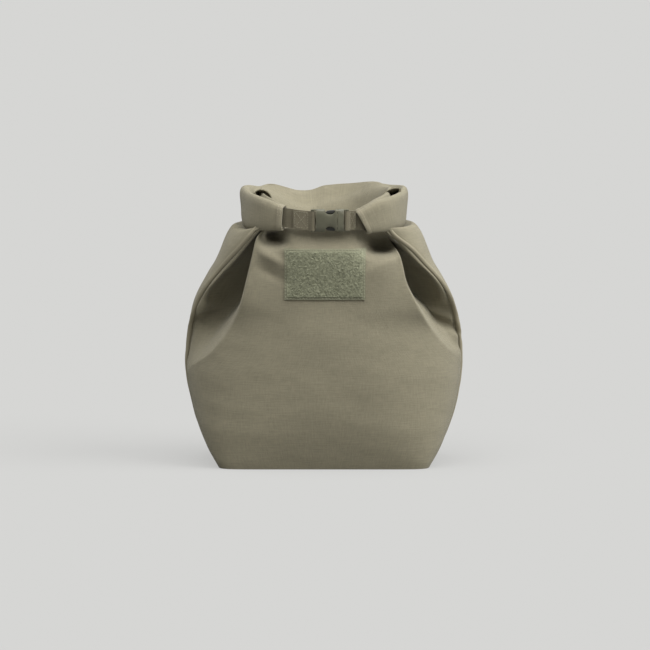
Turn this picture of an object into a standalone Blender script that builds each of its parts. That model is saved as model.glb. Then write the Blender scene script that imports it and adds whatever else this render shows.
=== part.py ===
"""A roll-top dry bag, closed: the collar is rolled down and its ends are clipped together in front.

Metres, +Z up, -Y to the front. The origin is on the ground under the middle of the base.
"""

import math

import bmesh
import bpy
from mathutils import Vector

# Body of the bag, measured outside the fabric
BASE_WIDTH = 0.212
BASE_DEPTH = 0.130
BASE_THICKNESS = 0.0016
BELLY_WIDTH = 0.276
BELLY_DEPTH = 0.155
BELLY_HEIGHT = 0.100
SHOULDER_WIDTH = 0.190
SHOULDER_FRONT = 0.052
SHOULDER_BACK = 0.072
SHOULDER_HEIGHT = 0.229
FRONT_RISE = 0.004
FABRIC = 0.0012
CLEARANCE = 0.0003

# How square the plan is at each height: 2 is an ellipse, more is squarer
BASE_SQUARENESS = 8.0
BELLY_SQUARENESS = 2.5
SHOULDER_SQUARENESS = 2.2

# How late the body draws in above the belly
WIDTH_FALL_POWER = 1.35
DEPTH_FALL_POWER = 1.45

# Side seams: at mid side up to the belly, then swinging forward to the ends of the roll
SEAM_RADIUS = 0.0016
SEAM_SWING = math.radians(52)
TAPE_THICKNESS = 0.0006
BASE_TAPE_HEIGHT = 0.012
TAPE_LAP_SHARE = 0.06

# The fold beside each seam: a crease that stands out, a valley tucked in behind it, a swollen shoulder
FOLD_START = 0.105
FOLD_DEPTH = 0.044
FOLD_TURN = math.radians(33)
FOLD_RISE_POWER = 1.25
CREASE_ANGLE = math.radians(36)
CREASE_LIMIT_SHARE = 0.72
CREASE_SHARE = 0.5
CREASE_LIFT = 0.010
CREASE_SPREAD = math.radians(8)
SHOULDER_LIFT = 0.010
SHOULDER_SPREAD = math.radians(18)
SHOULDER_RISE_POWER = 2.2

# Loop patch on the front
PATCH_WIDTH = 0.080
PATCH_HEIGHT = 0.050
PATCH_CENTRE_X = 0.001
PATCH_DROP = 0.058
PATCH_CLEARANCE = 0.0006
PATCH_BACKING = 0.0008
PATCH_BORDER = 0.0025
PATCH_PILE = 0.0014

# Webbing and its two tabs
WEBBING_WIDTH = 0.019
WEBBING_THICKNESS = 0.0014
TAB_TUCK = 0.008
TAB_NECK = 0.006
LEFT_TAB_DOUBLE = 0.019
RIGHT_TAB_DOUBLE = 0.007

# Rolled collar, bent into a C that is open to the front
ROLL_HALF_WIDTH = 0.0705
ROLL_HALF_DEPTH = 0.066
ROLL_CENTRE_Y = -0.002
ROLL_RISE = 0.006
ROLL_HEIGHT = 0.0435
ROLL_BACK_HEIGHT = 0.0245
ROLL_THICKNESS = 0.0285
ROLL_TURNS = 3
ROLL_SHEET = 0.0008
ROLL_LAYER_GAP = 0.0005
ROLL_TAPER = 0.075
ROLL_FRONT_SQUARENESS = 2.8
ROLL_BACK_SQUARENESS = 2.1
ROLL_SECTION_SQUARENESS = 2.8
LEFT_END_X = 0.039
RIGHT_END_X = 0.038
MOUTH_INSET = 0.024
CORE_SLACK = 0.0005
CORE_HALF_THICKNESS = 0.0022
BACK_CORE_HALF_HEIGHT = 0.0073
BINDING_LENGTH = 0.007
BINDING_THICKNESS = 0.0008
STIFFENER_THICKNESS = 0.0012

# Side-release buckle
BUCKLE_Y = -0.068
SOCKET_MOUTH_X = 0.013
SOCKET_LENGTH = 0.021
SOCKET_THICKNESS = 0.0094
SOCKET_LIP_THICKNESS = 0.0068
SOCKET_SIDE_WALL = 0.0020
SOCKET_FACE_WALL = 0.0017
SOCKET_END_WALL = 0.0025
SCOOP_RADIUS = 0.0055
SCOOP_FROM_MOUTH = 0.0070
SCOOP_OFFSET = 0.0008
RAIL = 0.0014
RAIL_HALF_THICKNESS = 0.0016
BAR_RADIUS = 0.0015
PLUG_BASE_LENGTH = 0.0063
PLUG_MOUTH_THICKNESS = 0.0086
PLUG_BAR_THICKNESS = 0.0062
GUIDE_LENGTH = 0.0103
GUIDE_HALF_HEIGHT = 0.0020
GUIDE_HALF_THICKNESS = 0.0015
GUIDE_TIP_SHARE = 0.6
PRONG_HINGE_INSET = 0.0020
PRONG_HINGE_DROP = 0.0033
PRONG_ROOT_RADIUS = 0.0013
PRONG_ROOT_ARC = math.radians(250)
PRONG_ARM_SHARE = 0.8
PRONG_HALF_THICKNESS = 0.0022
PRONG_BUTTON_PROUD = 0.0010
PRONG_SHOULDER_FROM_MOUTH = 0.0026
PRONG_BUTTON_LENGTH = 0.0070
PRONG_TIP_LENGTH = 0.0025
PRONG_TIP_HEIGHT = 0.0012

# How finely the surfaces are divided
WALL_ROWS = 12
CAP_ROWS = 5
HALF_COLUMNS = 12
TURN_POINTS = 14
ARM_STATIONS = 11
ROUND_POINTS = 20
PATCH_COLUMNS = 10
PATCH_ROWS = 8
BACK_CAP_SHARES = (0.5, 1.0)
LINE_STEPS = 160
ARC_STEPS = 8
MOULD_STEPS = 4
SCOOP_STEPS = 12
EDGE_PASSES = 5
NUDGE = 1e-4

# What follows from the sizes above
WALL_FOOT = BASE_THICKNESS + CLEARANCE + FABRIC / 2
PATCH_FOOT = SHOULDER_HEIGHT - PATCH_DROP
ROLL_BOTTOM = SHOULDER_HEIGHT + ROLL_RISE
MOUTH_Z = ROLL_BOTTOM - CLEARANCE - FABRIC
SEAM_GAP = SEAM_RADIUS + 2 * CLEARANCE
CORE_HALF_HEIGHT = WEBBING_WIDTH / 2 + CORE_SLACK
LAYERS = ROLL_TURNS * (ROLL_SHEET + ROLL_LAYER_GAP) + ROLL_SHEET
END_HALF_HEIGHT = CORE_HALF_HEIGHT + LAYERS
END_HALF_THICKNESS = CORE_HALF_THICKNESS + LAYERS
STRAP_Z = ROLL_BOTTOM + END_HALF_HEIGHT
LOOP_RADIUS = BAR_RADIUS + CLEARANCE + WEBBING_THICKNESS
SLOT_HALF = WEBBING_WIDTH / 2 + CLEARANCE
BUCKLE_HALF = SLOT_HALF + RAIL
CAVITY_HALF = BUCKLE_HALF - SOCKET_SIDE_WALL
SOCKET_LIP_X = SOCKET_MOUTH_X - SOCKET_LENGTH
SOCKET_BAR_X = SOCKET_LIP_X - LOOP_RADIUS - CLEARANCE
PLUG_FACE_X = SOCKET_MOUTH_X + CLEARANCE
PLUG_BACK_X = PLUG_FACE_X + PLUG_BASE_LENGTH
PLUG_BAR_X = PLUG_BACK_X + LOOP_RADIUS + CLEARANCE
PRONG_HINGE_X = PLUG_FACE_X + PRONG_HINGE_INSET
PRONG_HINGE_UP = BUCKLE_HALF - PRONG_HINGE_DROP
PIVOT_Y = ROLL_CENTRE_Y + ROLL_HALF_DEPTH + ROLL_THICKNESS / 2

for old in list(bpy.data.objects):
    bpy.data.objects.remove(old, do_unlink=True)


def finish(name, colour, roughness):
    made = bpy.data.materials.new(name)
    made.use_nodes = True
    shader = made.node_tree.nodes["Principled BSDF"]
    shader.inputs["Base Color"].default_value = (*colour, 1.0)
    shader.inputs["Roughness"].default_value = roughness
    shader.inputs["Metallic"].default_value = 0.0
    made.diffuse_color = (*colour, 1.0)
    return made


CLOTH = finish("olive_drab_cloth", (0.22, 0.20, 0.14), 0.75)
SEAM_CLOTH = finish("seam_cloth", (0.19, 0.17, 0.12), 0.75)
TAPE = finish("clear_grey_tape", (0.30, 0.30, 0.28), 0.45)
STRAP = finish("olive_webbing", (0.15, 0.13, 0.09), 0.8)
PLASTIC = finish("grey_green_plastic", (0.09, 0.09, 0.06), 0.5)
STRIP = finish("stiff_black_strip", (0.03, 0.03, 0.03), 0.5)
PATCH = finish("patch_backing_cloth", (0.17, 0.17, 0.11), 0.85)
PILE = finish("patch_loop_pile", (0.18, 0.18, 0.12), 0.95)


def lerp(a, b, share):
    return a + (b - a) * share


def smooth(share):
    share = min(max(share, 0.0), 1.0)
    return share * share * (3 - 2 * share)


def rounded(angle, squareness):
    """A point on a unit rounded square, in the direction of the angle, as (across, ahead)."""
    across, ahead = math.sin(angle), math.cos(angle)
    reach = (abs(across) ** squareness + abs(ahead) ** squareness) ** (-1 / squareness)
    return across * reach, ahead * reach


def at_height(z, base, belly, shoulder, fall):
    """A size of the body at height z: it swells to the belly, then draws in to the shoulders."""
    if z < BELLY_HEIGHT:
        return lerp(base, belly, math.sin(math.pi / 2 * max(z, 0.0) / BELLY_HEIGHT))
    rise = min((z - BELLY_HEIGHT) / (SHOULDER_HEIGHT - BELLY_HEIGHT), 1.0)
    return lerp(shoulder, belly, math.cos(math.pi / 2 * rise**fall))


def half_width(z):
    return at_height(z, BASE_WIDTH / 2, BELLY_WIDTH / 2, SHOULDER_WIDTH / 2, WIDTH_FALL_POWER) - FABRIC


def squareness_at(z):
    return at_height(z, BASE_SQUARENESS, BELLY_SQUARENESS, SHOULDER_SQUARENESS, 1.0)


def seam_angle(z):
    rise = (z - BELLY_HEIGHT) / (SHOULDER_HEIGHT - BELLY_HEIGHT)
    return math.pi / 2 - SEAM_SWING * min(max(rise, 0.0), 1.0) ** 2


def skin(angle, z):
    """The inner face of the fabric. The angle runs from the front, positive towards +X."""
    across, ahead = rounded(angle, squareness_at(z))
    front = at_height(z, BASE_DEPTH / 2, BELLY_DEPTH / 2, SHOULDER_FRONT, DEPTH_FALL_POWER)
    back = at_height(z, BASE_DEPTH / 2, BELLY_DEPTH / 2, SHOULDER_BACK, DEPTH_FALL_POWER)
    depth = (front if ahead > 0 else back) - FABRIC
    point = Vector((half_width(z) * across, -depth * ahead, 0.0))
    rise = min(max((z - FOLD_START) / (MOUTH_Z - FOLD_START), 0.0), 1.0)
    point += fold_shift(angle, seam_angle(z), rise, point.normalized())
    point.z = z
    return point


def crease_angle(seam):
    """The crease keeps clear of the seam where the two meet at the mouth."""
    return min(CREASE_ANGLE, CREASE_LIMIT_SHARE * seam)


def bump(away, spread):
    return math.exp(-((away / spread) ** 2))


def fold_shift(angle, seam, rise, out):
    """How far the fold moves a point of the plain wall; rise is 0 where the fold starts and 1 at the mouth."""
    turn, ridge = abs(angle), crease_angle(seam)
    place = min(max((turn - ridge) / (seam - ridge), 0.0), 1.0)
    fullness = math.sin(math.pi * rise**FOLD_RISE_POWER)
    valley = FOLD_DEPTH * fullness * math.sin(math.pi * place) ** 2
    crease = CREASE_LIFT * fullness * bump(turn - ridge, CREASE_SPREAD)
    shoulder = SHOULDER_LIFT * rise**SHOULDER_RISE_POWER * bump(turn - seam, SHOULDER_SPREAD)
    inward = Vector((-math.copysign(math.sin(FOLD_TURN), angle), math.cos(FOLD_TURN), 0.0))
    return inward * valley + out * crease - Vector((0.0, shoulder, 0.0))


def outward(angle, z):
    along = skin(angle + NUDGE, z) - skin(angle - NUDGE, z)
    up = skin(angle, z + NUDGE) - skin(angle, z - NUDGE)
    return along.cross(up).normalized()


def edge_angle(z, towards_back):
    """Where a panel stops beside the seam, one seam gap short of it."""
    seam = seam_angle(z)
    low, high = z - NUDGE, z + NUDGE
    along = (skin(seam_angle(high), high) - skin(seam_angle(low), low)).normalized()
    turn = NUDGE if towards_back else -NUDGE
    for _ in range(EDGE_PASSES):
        gap = (skin(seam + turn, z) - skin(seam, z)).cross(along).length
        turn *= SEAM_GAP / gap
    return seam + turn


def new_object(name, mesh, look, pivot=None):
    mesh.materials.append(look)
    made = bpy.data.objects.new(name, mesh)
    bpy.context.collection.objects.link(made)
    if pivot is not None:
        made.parent = pivot
        made.matrix_parent_inverse = pivot.matrix_world.inverted()
    return made


def grid_sheet(name, rows, thickness, look, ring=False, inside=False):
    """A sheet over rows of points, made solid on its outer or its inner side."""
    shape = bmesh.new()
    grid = [[shape.verts.new(point) for point in row] for row in rows]
    columns = len(rows[0])
    for low, high in zip(grid, grid[1:]):
        for k in range(columns if ring else columns - 1):
            after = (k + 1) % columns
            shape.faces.new((low[k], low[after], high[after], high[k]))
    mesh = bpy.data.meshes.new(name)
    shape.to_mesh(mesh)
    shape.free()
    mesh.shade_smooth()
    made = new_object(name, mesh, look)
    wall = made.modifiers.new("thickness", "SOLIDIFY")
    wall.thickness = thickness
    wall.offset = -1.0 if inside else 1.0
    return made


def loft(name, rings, look, pivot=None, sharp_degrees=40):
    """A closed solid through rings of points, with a flat cap at each end."""
    shape = bmesh.new()
    loops = [[shape.verts.new(point) for point in ring] for ring in rings]
    for near, far in zip(loops, loops[1:]):
        for k in range(len(near)):
            after = (k + 1) % len(near)
            shape.faces.new((near[k], near[after], far[after], far[k]))
    shape.faces.new(loops[0])
    shape.faces.new(loops[-1])
    bmesh.ops.recalc_face_normals(shape, faces=shape.faces)
    mesh = bpy.data.meshes.new(name)
    shape.to_mesh(mesh)
    shape.free()
    mesh.shade_smooth()
    mesh.set_sharp_from_angle(angle=math.radians(sharp_degrees))
    return new_object(name, mesh, look, pivot)


def helper(made):
    made.hide_render = True
    made.display_type = "WIRE"
    return made


def boolean(target, operation, other):
    cut = target.modifiers.new(operation.lower(), "BOOLEAN")
    cut.operation = operation
    cut.solver = "EXACT"
    cut.object = helper(other)


def box(name, low, high, look):
    (x0, y0, z0), (x1, y1, z1) = low, high
    rings = [[(x, y0, z0), (x, y1, z0), (x, y1, z1), (x, y0, z1)] for x in (x0, x1)]
    return loft(name, rings, look)


def pivot_empty(name, place, parent=None):
    made = bpy.data.objects.new(name, None)
    bpy.context.collection.objects.link(made)
    made.location = place
    bpy.context.view_layer.update()
    if parent is not None:
        made.parent = parent
        made.matrix_parent_inverse = parent.matrix_world.inverted()
        bpy.context.view_layer.update()
    return made


# The middle line of the roll, seen from above

def roll_line(side):
    """Points on one arm of the C, from its front end to the middle of the back."""
    end_x = LEFT_END_X if side < 0 else RIGHT_END_X
    power = ROLL_FRONT_SQUARENESS
    share = (end_x / ROLL_HALF_WIDTH) ** power
    start = math.pi - math.atan((share / (1 - share)) ** (1 / power))
    points = []
    for k in range(LINE_STEPS + 1):
        angle = start * (1 - k / LINE_STEPS)
        forward = math.cos(angle) < 0
        across, ahead = rounded(angle, ROLL_FRONT_SQUARENESS if forward else ROLL_BACK_SQUARENESS)
        points.append(Vector((side * ROLL_HALF_WIDTH * across, ROLL_CENTRE_Y + ROLL_HALF_DEPTH * ahead, 0.0)))
    points[-1].x = side * CLEARANCE / 2
    return points


ARMS = {side: roll_line(side) for side in (-1, 1)}


def arm_length(side):
    return sum((b - a).length for a, b in zip(ARMS[side], ARMS[side][1:]))


def arm_point(side, distance):
    """The point this far along an arm from its front end, with the outward direction there."""
    left = distance
    for a, b in zip(ARMS[side], ARMS[side][1:]):
        step = (b - a).length
        if left <= step or b is ARMS[side][-1]:
            break
        left -= step
    along = (b - a).normalized()
    return a + along * left, Vector((along.y, -along.x, 0.0)) * side


def mouth_point(share, sideways):
    """A point of the collar where it goes up into the roll; share runs from -1 at the left end to 1."""
    side = -1 if share < 0 else 1
    place, away = arm_point(side, lerp(arm_length(side), MOUTH_INSET, abs(share)))
    point = place + away * sideways
    return Vector((0.0 if share == 0 else point.x, point.y, MOUTH_Z))


# Body of the bag

SHARES = [k / HALF_COLUMNS for k in range(-HALF_COLUMNS, HALF_COLUMNS + 1)]


def wall_height(row, top):
    """Rows of the walls: the foot, the top of the base tape, then evenly up."""
    if row == 0:
        return WALL_FOOT
    tape_top = WALL_FOOT + BASE_TAPE_HEIGHT
    return lerp(tape_top, top, (row - 1) / (WALL_ROWS - 1))


def front_place(share, row):
    """The columns run evenly from the middle to the crease of the fold, then evenly on to the seam."""
    z = wall_height(row, SHOULDER_HEIGHT + FRONT_RISE * (1 - share**4))
    ridge = crease_angle(seam_angle(z))
    part = abs(share) / CREASE_SHARE
    turn = ridge * part
    if part > 1:
        turn = lerp(ridge, edge_angle(z, False), (part - 1) * CREASE_SHARE / (1 - CREASE_SHARE))
    return math.copysign(turn, share), z


def back_place(share, row):
    """share runs from -1 at the left seam, through 0 at the middle of the back, to 1 at the right."""
    z = wall_height(row, SHOULDER_HEIGHT)
    side = 1 if share >= 0 else -1
    return side * math.pi - share * (math.pi - edge_angle(z, True)), z


def front_wall(share, row):
    return skin(*front_place(share, row))


def back_wall(share, row):
    return skin(*back_place(share, row))


def make_front_panel():
    rows = [[front_wall(share, row) for share in SHARES] for row in range(WALL_ROWS + 1)]
    for step in range(1, CAP_ROWS + 1):
        part = step / CAP_ROWS
        row = []
        for share in SHARES:
            point = front_wall(share, WALL_ROWS).lerp(mouth_point(share, -SEAM_GAP), part)
            point.z = lerp(front_wall(share, WALL_ROWS).z, MOUTH_Z, math.sin(math.pi / 2 * part))
            row.append(point)
        rows.append(row)
    grid_sheet("front_panel", rows, FABRIC, CLOTH)


def make_back_panel():
    shares = SHARES[::-1]
    rows = [[back_wall(share, row) for share in shares] for row in range(WALL_ROWS + 1)]
    for part in BACK_CAP_SHARES:
        row = [back_wall(share, WALL_ROWS).lerp(mouth_point(share, SEAM_GAP), part) for share in shares]
        for point in row:
            point.z = lerp(SHOULDER_HEIGHT, MOUTH_Z, math.sin(math.pi / 2 * part))
        rows.append(row)
    grid_sheet("back_panel", rows, FABRIC, CLOTH)


def plan_places(row):
    """Every column of both panels, once round the bag, from the left seam over the front."""
    front = [front_place(share, row) for share in SHARES]
    back = [back_place(share, row) for share in SHARES[::-1]]
    return front + back


def make_base_panel():
    outline = [skin(angle, z) + outward(angle, z) * FABRIC for angle, z in plan_places(0)]
    rings = [[Vector((point.x, point.y, z)) for point in outline] for z in (0.0, BASE_THICKNESS)]
    loft("base_panel", rings, CLOTH)


def make_side_seam(name, side):
    line = []
    for row in range(WALL_ROWS + 1):
        z = wall_height(row, SHOULDER_HEIGHT)
        angle = side * seam_angle(z)
        line.append(skin(angle, z) + outward(angle, z) * SEAM_RADIUS)
    line[0] = line[0].lerp(line[1], TAPE_LAP_SHARE)
    top, end = line[-1], mouth_point(side, 0.0)
    for part in BACK_CAP_SHARES:
        point = top.lerp(end, part)
        point.z = lerp(top.z, MOUTH_Z + FABRIC - SEAM_RADIUS, math.sin(math.pi / 2 * part))
        line.append(point)
    curve = bpy.data.curves.new(name, "CURVE")
    curve.dimensions = "3D"
    curve.bevel_depth = SEAM_RADIUS
    curve.bevel_resolution = 1
    curve.use_fill_caps = True
    spline = curve.splines.new("POLY")
    spline.points.add(len(line) - 1)
    for knot, point in zip(spline.points, line):
        knot.co = (*point, 1.0)
    new_object(name, curve, SEAM_CLOTH)


def taped(place):
    return skin(*place) - outward(*place) * CLEARANCE


def make_side_tape(name, side):
    """The tape bridges the seam inside, one column of each panel wide, from the base tape upwards."""
    rows = []
    for row in range(1, WALL_ROWS):
        places = [
            front_place(side * SHARES[-2], row),
            front_place(side, row),
            back_place(side, row),
            back_place(side * SHARES[-2], row),
        ]
        rows.append([taped(place) for place in (places if side > 0 else places[::-1])])
    rows[0] = [low.lerp(high, TAPE_LAP_SHARE) for low, high in zip(rows[0], rows[1])]
    grid_sheet(name, rows, TAPE_THICKNESS, TAPE, inside=True)


def make_base_tape():
    low = [taped(place) for place in plan_places(0)]
    high = [taped(place) for place in plan_places(1)]
    low = [a.lerp(b, TAPE_LAP_SHARE) for a, b in zip(low, high)]
    grid_sheet("base_seam_tape", [low, high], TAPE_THICKNESS, TAPE, ring=True, inside=True)


def front_point(x, z, away):
    """A point on the front at a given x, this far out from the inner face of the fabric."""
    power = squareness_at(z)
    share = min(abs(x) / half_width(z), 0.99) ** power
    angle = math.copysign(math.atan((share / (1 - share)) ** (1 / power)), x)
    return skin(angle, z) + outward(angle, z) * away


def make_patch(name, border, lift, thickness, look):
    """A rectangle of cloth laid on the front, its height measured along the slope."""
    step = (PATCH_HEIGHT - 2 * border) / PATCH_ROWS
    z = PATCH_FOOT
    z += border * outward(0.0, z).xy.length
    rows = []
    reach = PATCH_WIDTH / 2 - border
    places = [PATCH_CENTRE_X + lerp(-reach, reach, k / PATCH_COLUMNS) for k in range(PATCH_COLUMNS + 1)]
    for _ in range(PATCH_ROWS + 1):
        rows.append([front_point(x, z, lift) for x in places])
        z += step * outward(0.0, z).xy.length
    grid_sheet(name, rows, thickness, look)


# Rolled collar

def back_share(side, distance):
    """How far a place on an arm has come from the side (0) to the middle of the back (1)."""
    return smooth((distance - ROLL_TAPER) / (arm_length(side) - ROLL_TAPER))


def core_half_height(side, distance):
    return lerp(CORE_HALF_HEIGHT, BACK_CORE_HALF_HEIGHT, back_share(side, distance))


def arm_size(side, distance):
    """Half height and half thickness of the roll: low at its end, tall at the side, lower at the back."""
    share = smooth(distance / ROLL_TAPER)
    high = lerp(END_HALF_HEIGHT, ROLL_HEIGHT / 2, share)
    thick = lerp(END_HALF_THICKNESS, ROLL_THICKNESS / 2, share)
    return lerp(high, ROLL_BACK_HEIGHT / 2, back_share(side, distance)), thick


def arm_stations(side, start, end=None):
    """Distances along an arm, with one at the inner edge of its binding."""
    end = arm_length(side) if end is None else end
    stops = [lerp(BINDING_LENGTH, arm_length(side), k / ARM_STATIONS) for k in range(ARM_STATIONS + 1)]
    return [start] + [stop for stop in stops if start + CLEARANCE < stop < end - CLEARANCE] + [end]


def placed(side, distance, section):
    """A section of (out, up) pairs set square across an arm."""
    place, away = arm_point(side, distance)
    middle = ROLL_BOTTOM + arm_size(side, distance)[0]
    return [place + away * out + Vector((0.0, 0.0, middle + up)) for out, up in section]


def wound_section(side, distance):
    """The collar wound from the core outwards, ending at the bottom where it leaves for the bag."""
    high, thick = arm_size(side, distance)
    core = core_half_height(side, distance)
    pitch_up = (high - core - ROLL_SHEET) / ROLL_TURNS
    pitch_out = (thick - CORE_HALF_THICKNESS - ROLL_SHEET) / ROLL_TURNS
    inner, outer = [], []
    for k in range(ROLL_TURNS * TURN_POINTS + 1):
        turn = k / TURN_POINTS
        out, down = rounded(2 * math.pi * turn, ROLL_SECTION_SQUARENESS)
        half_out = CORE_HALF_THICKNESS + pitch_out * turn
        half_up = core + pitch_up * turn
        inner.append((half_out * out, -half_up * down))
        outer.append(((half_out + ROLL_SHEET) * out, -(half_up + ROLL_SHEET) * down))
    return outer + inner[::-1]


def ring_section(side, distance, grow):
    high, thick = arm_size(side, distance)
    section = []
    for k in range(TURN_POINTS):
        out, down = rounded(2 * math.pi * k / TURN_POINTS, ROLL_SECTION_SQUARENESS)
        section.append(((thick + grow) * out, -(high + grow) * down))
    return section


def make_roll(name, side, pivot):
    rings = [placed(side, stop, wound_section(side, stop)) for stop in arm_stations(side, 0.0)]
    loft(name, rings, CLOTH, pivot)


def make_binding(name, side, pivot):
    """A band of tape round the end of the roll."""
    sleeves = []
    for grow in (CLEARANCE + BINDING_THICKNESS, CLEARANCE):
        for stop in (0.0, BINDING_LENGTH):
            sleeves.append(placed(side, stop, ring_section(side, stop, grow)))
    outer_near, outer_far, inner_near, inner_far = sleeves
    shape = bmesh.new()
    round_trip = (outer_near, outer_far, inner_far, inner_near)
    loops = [[shape.verts.new(point) for point in ring] for ring in round_trip]
    for near, far in zip(loops, loops[1:] + loops[:1]):
        for k in range(TURN_POINTS):
            after = (k + 1) % TURN_POINTS
            shape.faces.new((near[k], near[after], far[after], far[k]))
    bmesh.ops.recalc_face_normals(shape, faces=shape.faces)
    mesh = bpy.data.meshes.new(name)
    shape.to_mesh(mesh)
    shape.free()
    new_object(name, mesh, SEAM_CLOTH, pivot)


def make_stiffener(name, side, pivot):
    """The strip in the hem of the mouth, at the core of the roll, from the webbing to the back."""
    half_out = STIFFENER_THICKNESS / 2
    rings = []
    for stop in arm_stations(side, TAB_TUCK + CLEARANCE):
        half_up = core_half_height(side, stop) - CORE_SLACK
        section = [(-half_out, -half_up), (half_out, -half_up), (half_out, half_up), (-half_out, half_up)]
        rings.append(placed(side, stop, section))
    loft(name, rings, STRIP, pivot)


# Webbing tabs

def tab_line(side, bar_x):
    """The middle line of a tab: out of the core of the roll, then in a soft bend to the buckle's bar."""
    line = [arm_point(side, TAB_TUCK * (1 - k / MOULD_STEPS))[0] for k in range(MOULD_STEPS + 1)]
    start, bar = line[-1], Vector((bar_x, BUCKLE_Y, 0.0))
    reach = (bar - start).length
    leave = (start - line[-2]).normalized() * reach
    arrive = Vector((-side, 0.0, 0.0)) * reach
    for k in range(1, ARC_STEPS + 1):
        t = k / ARC_STEPS
        line.append(
            start * (2 * t**3 - 3 * t**2 + 1)
            + leave * (t**3 - 2 * t**2 + t)
            + bar * (3 * t**2 - 2 * t**3)
            + arrive * (t**3 - t**2)
        )
    return line


def tab_half(to_bar, double):
    """Half thickness of a tab: one layer, then two where it is folded back, opening round the bar."""
    if to_bar < TAB_NECK:
        return lerp(LOOP_RADIUS, WEBBING_THICKNESS, smooth(to_bar / TAB_NECK))
    return WEBBING_THICKNESS if to_bar < double else WEBBING_THICKNESS / 2


def make_tab(name, side, bar_x, double, pivot):
    line = tab_line(side, bar_x)
    bar = line[-1]
    upper, lower = [], []
    for k, point in enumerate(line):
        along = (line[min(k + 1, len(line) - 1)] - line[max(k - 1, 0)]).normalized()
        half = tab_half((bar - point).length, double)
        across = Vector((-along.y, along.x, 0.0)) * half
        upper.append(point + across)
        lower.append(point - across)
    turn = math.atan2(upper[-1].y - bar.y, upper[-1].x - bar.x)
    round_end = []
    for k in range(1, ROUND_POINTS // 2):
        angle = turn - math.pi * k / (ROUND_POINTS // 2)
        round_end.append(bar + Vector((math.cos(angle), math.sin(angle), 0.0)) * LOOP_RADIUS)
    hole = []
    for k in range(ROUND_POINTS):
        angle = 2 * math.pi * k / ROUND_POINTS
        hole.append(bar + Vector((math.cos(angle), math.sin(angle), 0.0)) * (BAR_RADIUS + CLEARANCE))
    curve = bpy.data.curves.new(name, "CURVE")
    curve.dimensions = "2D"
    curve.fill_mode = "BOTH"
    curve.extrude = WEBBING_WIDTH / 2
    for outline in (upper + round_end + lower[::-1], hole):
        spline = curve.splines.new("POLY")
        spline.points.add(len(outline) - 1)
        for knot, point in zip(spline.points, outline):
            knot.co = (point.x, point.y, 0.0, 1.0)
        spline.use_cyclic_u = True
    made = new_object(name, curve, STRAP)
    made.location.z = STRAP_Z
    made.parent = pivot
    made.matrix_parent_inverse = pivot.matrix_world.inverted()


# Buckle

def moulded(name, stations, look, pivot=None, squareness=5.0):
    """A moulded body through rounded sections: (x, half thickness, half height) along the buckle."""
    rings = []
    for x, half_y, half_z in stations:
        ring = []
        for k in range(ROUND_POINTS):
            out, up = rounded(2 * math.pi * (k + 0.5) / ROUND_POINTS, squareness)
            ring.append(Vector((x, BUCKLE_Y + half_y * out, STRAP_Z + half_z * up)))
        rings.append(ring)
    return loft(name, rings, look, pivot)


def rod(name, x, radius, half_length, look):
    rings = []
    for z in (-half_length, half_length):
        ring = []
        for k in range(ROUND_POINTS):
            angle = 2 * math.pi * k / ROUND_POINTS
            along, across = radius * math.cos(angle), radius * math.sin(angle)
            ring.append(Vector((x + along, BUCKLE_Y + across, STRAP_Z + z)))
        rings.append(ring)
    return loft(name, rings, look)


def add_webbing_bar(target, root_x, bar_x):
    """Two rails and a round bar that the webbing goes round."""
    beyond = math.copysign(BAR_RADIUS, bar_x - root_x)
    into = math.copysign(SOCKET_END_WALL / 2, bar_x - root_x)
    low_x, high_x = sorted((root_x - into, bar_x + beyond))
    for side in (-1, 1):
        low_z, high_z = sorted((side * SLOT_HALF, side * (BUCKLE_HALF - CLEARANCE)))
        low = (low_x, BUCKLE_Y - RAIL_HALF_THICKNESS, STRAP_Z + low_z)
        high = (high_x, BUCKLE_Y + RAIL_HALF_THICKNESS, STRAP_Z + high_z)
        boolean(target, "UNION", box(f"{target.name}_rail", low, high, PLASTIC))
    boolean(target, "UNION", rod(f"{target.name}_bar", bar_x, BAR_RADIUS, SLOT_HALF + RAIL / 2, PLASTIC))


def scooped(x):
    """Half height of the socket: drawn in on both edges where thumb and finger press the prongs."""
    away = abs(x - (SOCKET_MOUTH_X - SCOOP_FROM_MOUTH))
    if away >= SCOOP_RADIUS:
        return BUCKLE_HALF
    return min(BUCKLE_HALF, BUCKLE_HALF + SCOOP_OFFSET - math.sqrt(SCOOP_RADIUS**2 - away**2))


def make_socket(pivot):
    middle = SOCKET_MOUTH_X - SCOOP_FROM_MOUTH
    scoop = [middle - SCOOP_RADIUS * math.cos(math.pi * k / SCOOP_STEPS) for k in range(SCOOP_STEPS + 1)]
    places = [SOCKET_LIP_X, SOCKET_LIP_X + SOCKET_END_WALL] + scoop + [SOCKET_MOUTH_X]
    stations = []
    for x in places:
        share = math.sin(math.pi / 2 * (x - SOCKET_LIP_X) / SOCKET_LENGTH)
        stations.append((x, lerp(SOCKET_LIP_THICKNESS, SOCKET_THICKNESS, share) / 2, scooped(x)))
    socket = moulded("buckle_socket", stations, PLASTIC, pivot)
    add_webbing_bar(socket, SOCKET_LIP_X, SOCKET_BAR_X)
    half_y = SOCKET_THICKNESS / 2 - SOCKET_FACE_WALL
    low = (SOCKET_LIP_X + SOCKET_END_WALL, BUCKLE_Y - half_y, STRAP_Z - CAVITY_HALF)
    high = (SOCKET_MOUTH_X + SOCKET_END_WALL, BUCKLE_Y + half_y, STRAP_Z + CAVITY_HALF)
    boolean(socket, "DIFFERENCE", box("socket_cavity", low, high, PLASTIC))


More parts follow.
